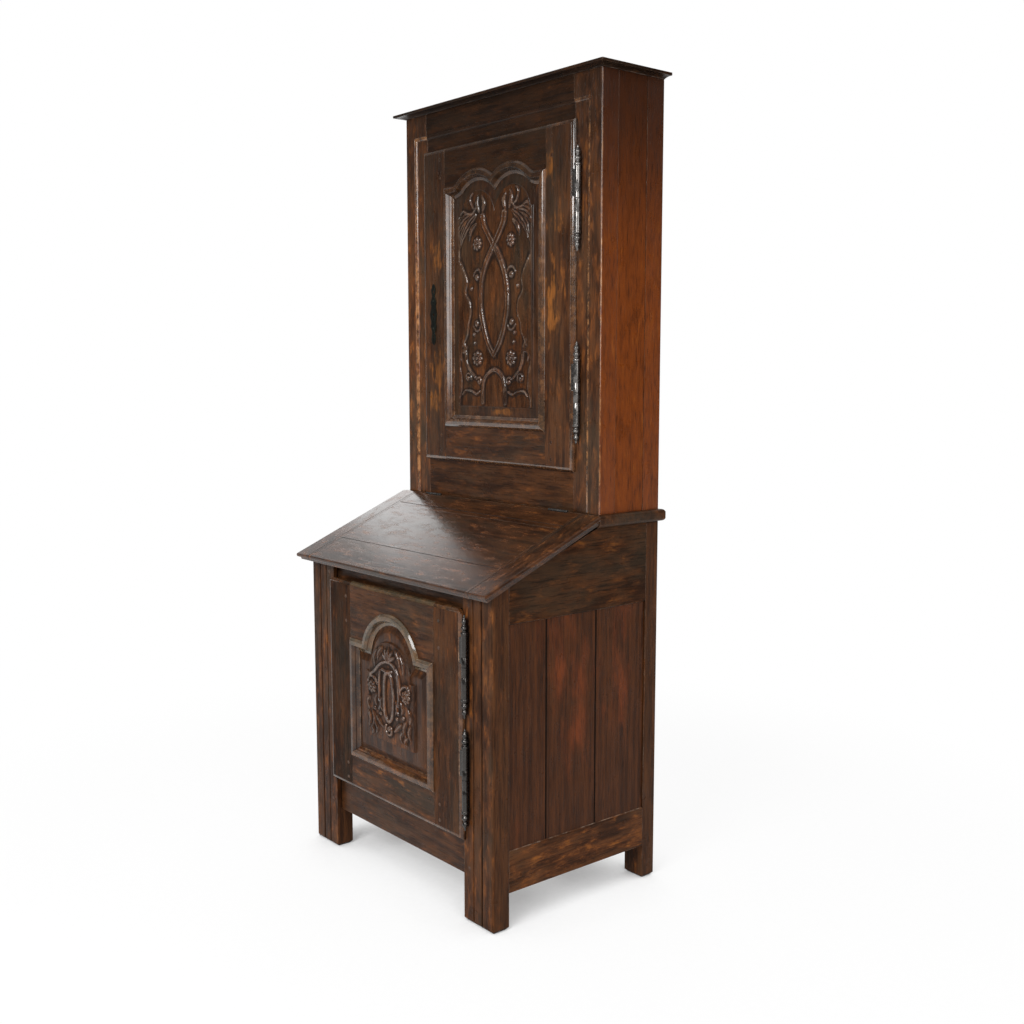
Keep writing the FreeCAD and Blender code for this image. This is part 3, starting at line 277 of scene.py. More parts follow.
def old_oak(name, axis, shade=1.0, warmth=0.0, glow=None, sides=None, dust=None, moulding=None, wear=1.0, gloss=0.34,
            sheen=0.22, edge_reach=2.6, relief_share=1.0, carved=False, splits=False, seams=(), coat=0.9,
            worn_film=0.0, bare=0.26):
    """Dark waxed oak with red and orange wear and rubbed edges, a pale tint on rubbed mouldings that is partly wear and
    partly painted highlight, and painted shade in the hollows and towards the top.
    """
    tree = Material(name)
    rings, streaks, pores, along, place = grain(tree, axis)
    blotches = tree.stretched(place, patch_axes[axis])
    figure = tree.total([(rings, 0.25), (tree.span(streaks, 0.30, 0.72), 0.75)])
    broad = tree.noise(blotches, scales["broad"], 5.0, 0.62)
    tone = tree.total([(figure, 0.50), (tree.span(broad, 0.30, 0.70), 0.50)])
    color = tree.mix(tree.span(tone, 0.20, 0.82), shaded(oak_dark, shade), shaded(oak_brown, shade))
    patch = tree.noise(blotches, scales["patch"], 5.0, 0.64, 0.3)
    red = tree.span(patch, 0.50 - warmth, 0.72 - warmth)
    orange = tree.span(patch, 0.62 - warmth, 0.80 - warmth)
    film = tree.span(tree.noise(blotches, scales["film"], 5.0, 0.65), 0.44, 0.66)
    color = tree.layer(color, red, covers["red"], shaded(oak_red, shade))
    color = tree.layer(color, orange, covers["orange"], shaded(oak_orange, shade))
    color = tree.layer(color, film, covers["film"], shaded(oak_film, shade))
    if glow is not None:
        spot = tree.plus(glow(tree), tree.times(tree.plus(patch, -0.5), 3.4))
        spot = tree.times(tree.span(spot, 0.35, 1.05), tree.span(streaks, 0.30, 0.66, 0.35, 1.0))
        color = tree.layer(color, spot, covers["glow"], shaded(oak_orange, shade))
    if sides is not None:
        color = tree.mix(tree.facing(0), color, sides(tree, streaks, patch))
    if dust is not None:
        color = tree.layer(color, dust(tree), tree.span(patch, 0.30, 0.62, 0.35, 0.85), oak_dust)
    # Painted shade: the oak darkens towards the top of the case, and there the mouldings lose some gloss and pale tint
    top_shade = tree.span(tree.plus(tree.height(2), tree.times(broad, top_shade_wander)), top_shade_start, top_shade_end)
    color = tree.layer(color, top_shade, covers["top_shade"], shaded(oak_dirt_and_shade, 1.6))
    black = tree.span(tree.noise(along, scales["black"], 5.0, 0.7), 0.53, 0.76)
    color = tree.layer(color, black, covers["black"], oak_dirt_and_shade)
    color = tree.layer(color, pores, covers["pores"], oak_dirt_and_shade)
    rub = tree.noise(place, scales["rub"], 5.0, 0.7)
    # Painted shade in hollows, corners and gaps, from how hidden each point is; on carving also where a point lies
    # below the ground about it
    hollow_shade = tree.span(tree.hollows(hollow_reach), 0.34, 0.95)
    if carved:
        crest = tree.add("ShaderNodeAttribute", attribute_name="crest").outputs["Fac"]
        polish = tree.span(crest, 0.10, 1.10)
        hollow_shade = tree.math("MAXIMUM", tree.times(hollow_shade, 0.8), tree.span(crest, -0.10, -0.85))
    else:
        polish = tree.span(tree.edges(edge_reach * mm), 0.12, 0.60)
    edge = tree.times(polish, tree.span(rub, 0.42, 0.66))
    color = tree.layer(color, edge, covers["edge"] * wear, oak_edge)
    if not carved:
        rubbing = min(1.0, 0.55 * wear)
        polish = tree.times(polish, tree.span(rub, 0.40, 0.62, 0.25 * rubbing, rubbing))
    # Rubbed mouldings get more gloss and a pale tint, partly wear and partly painted highlight
    if moulding is not None:
        rubbed_and_highlight = tree.times(moulding(tree), tree.span(top_shade, 0.0, 1.0, 1.0, 0.4))
        polish = tree.math("MAXIMUM", polish, rubbed_and_highlight)
        rubbed_and_highlight = tree.times(rubbed_and_highlight, tree.span(rub, 0.40, 0.66, 0.0, bare))
        color = tree.mix(rubbed_and_highlight, color, shaded(oak_rubbed_and_highlight, shade))
    # Lays the painted shade of the hollows
    color = tree.layer(color, hollow_shade, covers["hollow_shade"], oak_dirt_and_shade)
    haze = tree.noise(place, scales["haze"], 4.0, 0.65)
    haze = tree.span(haze, 0.30, 0.74, gloss - 0.08 * relief_share, gloss + 0.14 * relief_share)
    roughness = [(haze, 1.0), (hollow_shade, 0.22), (polish, -0.16)]
    if worn_film:
        roughness.append((tree.span(patch, 0.44, 0.66), worn_film))
    # Dark joint lines, and painted shade where a reed mask is given as a seam
    for line in seams:
        seam = line(tree)
        color = tree.layer(color, seam, covers["seam"], oak_dirt_and_shade)
        roughness.append((seam, 0.5))
    ripple = tree.noise(along, scales["ripple"], 2.0, 0.5)
    relief = [(rings, 0.16), (streaks, 0.55), (pores, -0.40), (ripple, 1.5)]
    if splits:
        line = tree.noise(tree.stretched(place, split_axes[axis]), scales["split"], 3.0, 0.5)
        line = tree.span(tree.math("ABSOLUTE", tree.plus(line, -0.5)), 0.008, 0.0)
        split = tree.times(line, tree.span(tree.noise(place, scales["split_area"], 2.0), 0.52, 0.60))
        color = tree.layer(color, split, covers["seam"], oak_dirt_and_shade)
        relief.append((split, -1.2))
    normal = tree.bumped(tree.total(relief), oak_bump * relief_share)
    return tree.finish(color, tree.total(roughness), normal, specular_ior_level=sheen,
                       coat_weight=tree.times(polish, coat), coat_roughness=wax_roughness, coat_ior=wax_ior)


def raw_oak(name, axis, gloss=0.62):
    """Unpolished oak of the inside and the back."""
    tree = Material(name)
    rings, streaks, pores, _, place = grain(tree, axis)
    brown = tree.total([(rings, 0.45), (tree.span(streaks, 0.3, 0.7), 0.55)])
    color = tree.mix(brown, oak_raw_dark, oak_raw)
    stain = tree.span(tree.noise(place, scales["stain"], 4.0, 0.6), 0.46, 0.70)
    edge = tree.span(tree.edges(raw_edge_reach), 0.20, 0.70)
    # Painted shade in the corners of the inside, from how hidden each point is
    hollow_shade = tree.span(tree.hollows(raw_hollow_reach), 0.25, 0.95)
    for mask, share, tint in ((stain, 0.55, oak_raw_dark), (edge, 0.5, oak_raw_pale), (pores, 0.5, oak_raw_dark),
                              (hollow_shade, 0.6, oak_dirt_and_shade)):
        color = tree.layer(color, mask, share, tint)
    normal = tree.bumped(tree.total([(rings, 0.35), (streaks, 0.9)]), raw_bump)
    roughness = tree.span(streaks, 0.2, 0.8, gloss - 0.1, gloss + 0.14)
    return tree.finish(color, roughness, normal, specular_ior_level=0.15)


# Iron
iron_edge_reach = 2.5 * mm
iron_bump = 0.10 * mm
skin_scale = 160.0
blotch_scale = 34.0
dull_blend = 0.1


def old_iron(name, dark, worn, rust_share, gloss, dull_below=0.0):
    """Forged iron, mottled and rusty in patches, bright where hands rub it and duller below a height."""
    tree = Material(name)
    skin = tree.noise(tree.place, skin_scale, 4.0, 0.6)
    blotch = tree.noise(tree.place, blotch_scale, 4.0, 0.6)
    color = tree.mix(tree.span(skin, 0.35, 0.70), dark, shaded(dark, 1.5))
    rub = tree.times(tree.span(tree.edges(iron_edge_reach), 0.20, 0.70), tree.span(blotch, 0.35, 0.62))
    color = tree.mix(rub, color, worn)
    rust = tree.span(blotch, 0.58, 0.74)
    color = tree.layer(color, rust, rust_share, iron_rust)
    if dull_below:
        low = tree.span(tree.height(2), dull_below, dull_below - dull_blend)
        color = tree.layer(color, low, 0.75, iron_black)
    roughness = tree.span(skin, 0.30, 0.72, gloss - 0.06, gloss + 0.12)
    normal = tree.bumped(skin, iron_bump)
    return tree.finish(color, roughness, normal, metallic=0.9, specular_ior_level=0.5)


def oval(tree, node, axis, across_share, up_share, across_reach, up_reach):
    """Distance from a middle in a node's box, 1 at the reaches; middle and reaches are shares of the box."""
    low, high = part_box(node)
    size = high - low
    squares = []
    for k, share, reach in ((axis, across_share, across_reach), (2, up_share, up_reach)):
        away = tree.math("SUBTRACT", tree.height(k), low[k] + size[k] * share)
        away = tree.math("DIVIDE", away, size[k] * reach)
        squares.append(tree.times(away, away))
    return tree.math("SQRT", tree.plus(*squares))


def spots(node, *places):
    """A mask of soft spots on a node, each given by its oval and its strength."""
    def mask(tree):
        return tree.greatest([tree.span(oval(tree, node, 0, *place), 0.25, 1.0, strength, 0.0)
                              for *place, strength in places])
    return mask


def seam_lines(axis, places, reach=1.5 * mm):
    """A mask of thin lines square to an axis, at given places along it."""
    def mask(tree):
        value = tree.height(axis)
        away = [tree.math("ABSOLUTE", tree.plus(value, -place)) for place in places]
        return tree.greatest([tree.span(gap, reach * 0.4, reach, 1.0, 0.0) for gap in away])
    return mask


def upper_sides(tree, streaks, patch):
    """The even orange-brown of the upper case's sides, darker towards the top."""
    low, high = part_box("upper_right_side_board")
    height = tree.span(tree.height(2), low.z + (high.z - low.z) * 0.40, high.z)
    tone = tree.mix(height, side_low, side_high)
    tone = tree.layer(tone, tree.span(patch, 0.50, 0.34), 0.60, side_streak)
    bright = tree.times(tree.span(patch, 0.54, 0.72), tree.span(height, 0.0, 0.7, 0.55, 0.08))
    tone = tree.mix(bright, tone, side_bright)
    return tree.layer(tone, tree.span(streaks, 0.42, 0.72), 0.40, side_streak)


def lower_sides(tree, streaks, patch):
    """The plain dark brown of the lower case's side frame."""
    tone = tree.mix(tree.span(streaks, 0.30, 0.72), shaded(oak_dark, 1.2), shaded(oak_brown, 1.05))
    return tree.layer(tone, tree.span(patch, 0.52, 0.74), 0.5, oak_red)


def board_tone(tree, streaks, patch):
    """The red-brown of the lower side boards, warmer along their middle."""
    cloud = tree.noise(tree.stretched(tree.place, patch_axes["z"]), scales["cloud"], 5.0, 0.6)
    warm = tree.span(oval(tree, "right_side_boards", 1, 0.45, 0.60, 0.40, 0.65), 0.0, 1.0, 0.45, 0.0)
    warm = tree.plus(warm, tree.times(tree.plus(cloud, -0.5), 2.8))
    tone = tree.mix(tree.span(streaks, 0.34, 0.68), shaded(oak_red, 0.27), shaded(oak_red, 0.58))
    return tree.mix(tree.span(warm, 0.10, 0.95, 0.0, 0.90), tone, board_warm)


# Depths from a member's front to its flat face and to the end of its moulding
door_face = 8.0 * mm
door_moulding = 19.0 * mm
post_bead = 4.7 * mm


def moulded(node, face, reach):
    """A mask of the moulding before and behind a member's flat face."""
    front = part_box(node)[0].y

    def mask(tree):
        depth = tree.math("SUBTRACT", tree.height(1), front)
        away = tree.math("ABSOLUTE", tree.plus(depth, -face))
        near = tree.span(depth, reach, reach - 0.6 * mm)
        return tree.times(tree.span(away, 0.4 * mm, 1.2 * mm), near)
    return mask


def reed_groove_shade(tree):
    """Painted shade in the reeds cut along the lower posts, from how hidden their grooves are."""
    return tree.span(tree.hollows(reed_reach), 0.10, 0.40)


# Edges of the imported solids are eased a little, and curved runs are shaded smooth
def smoothing_group():
    group = bpy.data.node_groups.new("smooth_by_angle", "GeometryNodeTree")
    for way in ("INPUT", "OUTPUT"):
        group.interface.new_socket("Mesh", in_out=way, socket_type="NodeSocketGeometry")
    tree = Tree(group)
    mesh = tree.add("NodeGroupInput").outputs[0]
    angle = tree.add("GeometryNodeInputMeshEdgeAngle").outputs["Unsigned Angle"]
    below = tree.add("FunctionNodeCompare", {0: angle, 1: math.radians(smooth_angle)}, operation="LESS_THAN")
    faces = tree.add("GeometryNodeSetShadeSmooth", {"Geometry": mesh}, domain="FACE").outputs[0]
    sharp = tree.add("GeometryNodeSetShadeSmooth", {"Geometry": faces, "Shade Smooth": below.outputs[0]},
                     domain="EDGE")
    tree.add("NodeGroupOutput", {0: sharp.outputs[0]})
    return group


smooth_by_angle = smoothing_group()


def ease(piece):
    add = piece.modifiers.new
    made(add("weld", "WELD"), merge_threshold=weld_reach)
    made(add("eased_edges", "BEVEL"), width=edge_round, segments=edge_segments, limit_method="ANGLE",
         angle_limit=math.radians(edge_angle), use_clamp_overlap=False)
    made(add("smooth", "NODES"), node_group=smooth_by_angle)
    made(add("flat_faces", "WEIGHTED_NORMAL"), keep_sharp=True)


def dress(piece, material):
    piece.data.materials.clear()
    piece.data.materials.append(material)


def cover(material, *names):
    for name in names:
        dress(nodes[name], material)
        ease(nodes[name])


def oak(name, axis, *names, **settings):
    cover(old_oak("oak_" + name, axis, **settings), *names)


# Materials
upper_moulding = moulded("upper_door_top_rail", door_face, door_moulding)
lower_moulding = moulded("lower_door_top_rail", door_face, door_moulding)
upper_beads = moulded("upper_right_front_post", 0.0, post_bead)

hinge_stile_glow = spots("upper_door_hinge_stile", (0.45, 0.50, 0.40, 0.16, 0.75), (0.30, 0.88, 0.30, 0.07, 0.75),
                         (0.55, 0.72, 0.30, 0.06, 0.55))
lock_stile_glow = spots("upper_door_lock_stile", (0.55, 0.30, 0.45, 0.10, 0.75), (0.40, 0.20, 0.35, 0.08, 0.70),
                        (0.50, 0.66, 0.35, 0.10, 0.55))
panel_glow = spots("upper_door_panel", (0.60, 0.035, 0.17, 0.022, 1.0))
lower_rail_glow = spots("lower_door_bottom_rail", (0.50, 0.55, 0.25, 0.25, 0.35))

lid_low, lid_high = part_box("lid_panel")
lid_sides = seam_lines(0, (lid_low.x, lid_high.x))
lid_ends = seam_lines(1, (lid_low.y, lid_high.y))
lid_finish = {"shade": 0.80, "gloss": 0.17, "sheen": 0.34, "relief_share": 0.10, "worn_film": 0.12}
board_joints = sorted({round(corner.co.y, 4) for corner in nodes["right_side_boards"].data.vertices})[1:-1]

relief_wood = old_oak("oak_relief", "z", shade=1.05, sheen=0.15, warmth=0.03, wear=0.5, gloss=0.30, carved=True,
                      coat=0.6)
hinge_iron = old_iron("iron_hinges", iron_dark, iron_worn, 0.20, gloss=0.20, dull_below=cad_high.z * 0.5)
plate_iron = old_iron("iron_plate", plate_dark, plate_worn, 0.15, gloss=0.42)

# Oak members: material, axis of the grain, nodes and settings
oak("upright", "z", "lower_left_rear_post")
oak("upper_lock_stile", "z", "upper_door_lock_stile", shade=1.05, coat=0.7, glow=lock_stile_glow,
    moulding=upper_moulding)
oak("upper_hinge_stile", "z", "upper_door_hinge_stile", shade=1.15, wear=1.6, glow=hinge_stile_glow,
    moulding=upper_moulding, edge_reach=1.3)
oak("lower_lock_stile", "z", "lower_door_lock_stile", shade=0.66, warmth=0.03, sheen=0.03, coat=0.5,
    moulding=lower_moulding)
oak("lower_hinge_stile", "z", "lower_door_hinge_stile", wear=1.6, sheen=0.06, coat=0.5, moulding=lower_moulding,
    edge_reach=1.3)
# The upper posts are lighter copies of the oak, the left one most, with a strong pale bead tint: painted highlight
# along their beads
oak("upper_left_post_highlight", "z", "upper_left_front_post", shade=1.6, warmth=0.06, sides=upper_sides,
    moulding=upper_beads, wear=1.6, bare=0.8)
oak("upper_post", "z", "upper_right_front_post", "upper_left_rear_post", "upper_right_rear_post", shade=1.2,
    warmth=0.05, sides=upper_sides, moulding=upper_beads, wear=1.2, bare=0.8)
# The lower posts carry painted shade in their reeds
oak("lower_post", "z", "lower_left_front_post", "lower_right_front_post", "lower_right_rear_post", shade=1.15,
    warmth=0.05, sheen=0.08, sides=lower_sides, wear=1.2, coat=0.6, seams=(reed_groove_shade,))
oak("level_x", "x", "lower_front_top_rail", "lower_front_bottom_rail", "upper_bottom_rail", "waist_board", sheen=0.12)
# The frieze, cornice front and door top rail are darker copies of the oak: painted shade under the cornice
oak("frieze", "x", "upper_top_rail", "cornice_front", shade=0.72, sheen=0.14, coat=0.3, wear=0.4)
oak("hump_rail", "x", "upper_door_top_rail", shade=0.66, sheen=0.14, coat=0.5, wear=0.5, moulding=upper_moulding)
oak("upper_low_rail", "x", "upper_door_bottom_rail", warmth=0.04, moulding=upper_moulding)
oak("lower_low_rail", "x", "lower_door_bottom_rail", sheen=0.10, coat=0.4, warmth=0.05, glow=lower_rail_glow,
    moulding=lower_moulding)
oak("arch_rail", "x", "lower_door_top_rail", sheen=0.10, coat=0.5, warmth=0.02, dust=lower_moulding,
    moulding=lower_moulding)
oak("level_y", "y", "left_side_top_rail", "right_side_top_rail", "cornice_returns", shade=0.86, warmth=0.04,
    sheen=0.05)
oak("foot_rail", "y", "left_side_bottom_rail", "right_side_bottom_rail", shade=1.25, warmth=0.06, sheen=0.06)
oak("panel", "z", "upper_door_panel", "lower_door_panel", shade=0.9, glow=panel_glow)
oak("lid_x", "x", "lid_front_rail", "lid_back_rail", "lid_panel", warmth=0.06, splits=True,
    seams=(lid_sides, lid_ends), **lid_finish)
oak("lid_y", "y", "lid_stiles", warmth=0.08, seams=(lid_sides,), **lid_finish)
oak("upper_side", "z", "upper_left_side_board", "upper_right_side_board", sheen=0.12, sides=upper_sides, wear=0.6)
oak("lower_side", "z", "left_side_boards", "right_side_boards", sheen=0.10, sides=board_tone, wear=0.7,
    seams=(seam_lines(1, board_joints),))
oak("pegs", "y", "case_pegs", "lower_door_pegs", "upper_door_pegs", warmth=0.05)
cover(raw_oak("oak_inside_x", "x"), "lower_floor", "lower_shelf", "well_floor", "upper_bottom_board",
      "upper_shelves", "upper_top_board", "lower_back_rails")
cover(raw_oak("oak_inside_y", "y"), "shelf_bearers")
cover(raw_oak("oak_inside_z", "z", gloss=0.7), "lower_back_boards", "upper_back_boards")
cover(hinge_iron, "door_hinge_frame_knuckles", "lower_door_knuckles", "upper_door_knuckles", "lid_hinge_lid_leaves",
      "lid_hinge_case_leaves")
cover(plate_iron, "escutcheon")
cover(old_iron("iron_lock", iron_dark, iron_worn, 0.6, gloss=0.48), "lock_case", "lock_bolt", "lock_keeper")


# New pieces
def placed(name, data):
    item = bpy.data.objects.new(name, data)
    scene.collection.objects.link(item)
    return item


def built(name, mesh_maker, material):
    """An object whose mesh is filled by mesh_maker, in the row frame."""
    mesh = bpy.data.meshes.new(name)
    shape = bmesh.new()
    mesh_maker(shape)
    shape.to_mesh(mesh)
    shape.free()
    item = placed(name, mesh)
    dress(item, material)
    return item


def piece_from(name, mesh_maker, material, body, crest=None):
    """A closed piece that rides on a body; crest tells how far its first points stand out."""
    def outward(shape):
        mesh_maker(shape)
        bmesh.ops.recalc_face_normals(shape, faces=shape.faces)

    piece = built(name, outward, material)
    if crest is not None:
        values = np.zeros(len(piece.data.vertices))
        values[:crest.size] = crest.ravel()
        piece.data.attributes.new("crest", "FLOAT", "POINT").data.foreach_set("value", values)
    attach(piece, body)
    return piece


def shade_smooth(piece, angle=smooth_angle):
    piece.data.shade_smooth()
    piece.data.set_sharp_from_angle(angle=math.radians(angle))


def smooth_curve(points, count=10):
    """Points on a smooth curve that passes through the given ones."""
    ends = np.array([points[0]] + list(points) + [points[-1]], float)
    t = np.linspace(0.0, 1.0, count, endpoint=False)[:, None]
    runs = []
    for a, b, c, d in zip(ends, ends[1:], ends[2:], ends[3:]):
        runs.append(0.5 * (2 * b + (c - a) * t + (2 * a - 5 * b + 4 * c - d) * t ** 2
                           + (3 * b - a - 3 * c + d) * t ** 3))
    return np.vstack(runs + [ends[-1:]])


def around(count):
    return [(math.cos(math.tau * k / count), math.sin(math.tau * k / count)) for k in range(count)]


def add_turning(shape, rings):
    """A closed turned form through rings of points, with flat ends."""
    rows = [[shape.verts.new(point) for point in ring] for ring in rings]
    for first, second in zip(rows, rows[1:]):
        for k, start in enumerate(first):
            following = (k + 1) % len(first)
            shape.faces.new((start, first[following], second[following], second[k]))
    shape.faces.new(rows[0])
    shape.faces.new(rows[-1])


# Turned hinges
hinge_sides = 28
finial_part = 0.395
knuckle_radius = 7.3 * mm
leaf_thickness = 2.5 * mm
leaf_margin = 6.0 * mm
leaf_reach = 36.0 * mm
hinge_gap = 0.4 * mm
tip_share = 0.02
finial_steps = 3
ring_shares = [(0.0, 0.90), (0.012, 1.0), (0.30, 1.0), (0.31, 0.93), (0.33, 0.93), (0.34, 1.0), (0.60, 1.0)]
finial_shares = [(0.0, 1.0), (0.03, 1.16), (0.09, 1.18), (0.14, 1.06), (0.17, 0.72), (0.21, 0.62), (0.26, 0.78),
                 (0.33, 1.04), (0.39, 1.04), (0.45, 0.82), (0.50, 0.58), (0.55, 0.56), (0.60, 0.72), (0.67, 0.86),
                 (0.73, 0.78), (0.80, 0.52), (0.86, 0.36), (0.91, 0.36), (0.95, 0.28), (0.98, 0.16), (1.0, 0.02)]
joints = {joint["name"]: joint for joint in frame["joints"]}


def island_boxes(node):
    """The boxes of a node's separate solids, lowest first."""
    shape = bmesh.new()
    shape.from_mesh(nodes[node].data)
    bmesh.ops.remove_doubles(shape, verts=shape.verts, dist=weld_reach)
    left = set(shape.verts)
    boxes = []
    while left:
        reached = [left.pop()]
        corners = []
        while reached:
            corner = reached.pop()
            corners.append(corner.co.copy())
            for edge in corner.link_edges:
                other = edge.other_vert(corner)
                if other in left:
                    left.discard(other)
                    reached.append(other)
        places = np.array(corners)
        boxes.append((Vector(places.min(0)), Vector(places.max(0))))
    shape.free()
    return sorted(boxes, key=lambda item: item[0].z)


def add_turned(shape, x, y, joint, tip):
    """One turned knuckle with its finial, from the joint to the tip."""
    length = tip - joint
    knuckle = length * (1 - finial_part)
    profile = [(joint + knuckle * share, knuckle_radius * width) for share, width in ring_shares]
    for height, radius in smooth_curve([(joint + knuckle + (length - knuckle) * share, knuckle_radius * width)
                                        for share, width in finial_shares], finial_steps):
        profile.append((height, max(radius, knuckle_radius * tip_share)))
    add_turning(shape, [[(x + radius * across, y + radius * out, height) for across, out in around(hinge_sides)]
                        for height, radius in profile])


def add_block(shape, low, high):
    corners = [shape.verts.new((x, y, z)) for x in (low[0], high[0]) for y in (low[1], high[1])
               for z in (low[2], high[2])]
    for face in [(0, 1, 3, 2), (4, 5, 7, 6), (0, 1, 5, 4), (2, 3, 7, 6), (0, 2, 6, 4), (1, 3, 7, 5)]:
        shape.faces.new([corners[k] for k in face])


frame_knuckles = []


def door_turnings(door):
    x, y = joints[door + "_hinge"]["pos_m"][:2]

    def make(shape):
        for low, high in island_boxes(door + "_knuckles"):
            add_turned(shape, x, y, low.z, high.z)
            knuckle_top = low.z + (high.z - low.z) * (1 - finial_part)
            add_block(shape, (low.x, y - leaf_thickness / 2, low.z + leaf_margin),
                      (x, y + leaf_thickness / 2, knuckle_top - leaf_margin))
            frame_knuckles.append((x, y, low.z, high.z))
    return make


def frame_turnings(shape):
    for x, y, joint, tip in frame_knuckles:
        length = tip - joint
        start = joint - hinge_gap
        add_turned(shape, x, y, start, start - length)
        bottom = start - length * (1 - finial_part) + leaf_margin
        add_block(shape, (x - leaf_thickness / 2, y, bottom),
                  (x + leaf_thickness / 2, y + leaf_reach, start - leaf_margin))


for door in ("upper_door", "lower_door"):
    turning = piece_from(door + "_turned_hinges", door_turnings(door), hinge_iron, door)
    shade_smooth(turning)
    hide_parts(door + "_knuckles")
turning = piece_from("case_turned_hinges", frame_turnings, hinge_iron, "case")
shade_smooth(turning)
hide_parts("door_hinge_frame_knuckles")


# Nail heads of the escutcheon
nail_radius = 2.3 * mm
nail_height = 1.3 * mm
nail_sink = 0.4 * mm
nail_sides = 16
nail_shares = [0.275, 0.725]
dome_shares = [(1.0, 0.0), (0.96, 0.35), (0.80, 0.68), (0.52, 0.90), (0.18, 1.0)]


def nail_heads(shape):
    low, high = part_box("escutcheon")
    x = (low.x + high.x) / 2
    for share in nail_shares:
        z = low.z + (high.z - low.z) * share
        rings = [(nail_radius, low.y + nail_sink)]
        rings += [(nail_radius * wide, low.y - nail_height * out) for wide, out in dome_shares]
        add_turning(shape, [[(x + radius * across, y, z + radius * up) for across, up in around(nail_sides)]
                            for radius, y in rings])


nails = piece_from("escutcheon_nails", nail_heads, plate_iron, "upper_door")
shade_smooth(nails)


def unit(values):
    return np.clip(values, 0.0, 1.0)


def half_round(share):
    return np.sqrt(unit(1.0 - share ** 2))


def neighbours(field):
    """The sum of the four values next to each one."""
    padded = np.pad(field, 1, mode="edge")
    return padded[:-2, 1:-1] + padded[2:, 1:-1] + padded[1:-1, :-2] + padded[1:-1, 2:]


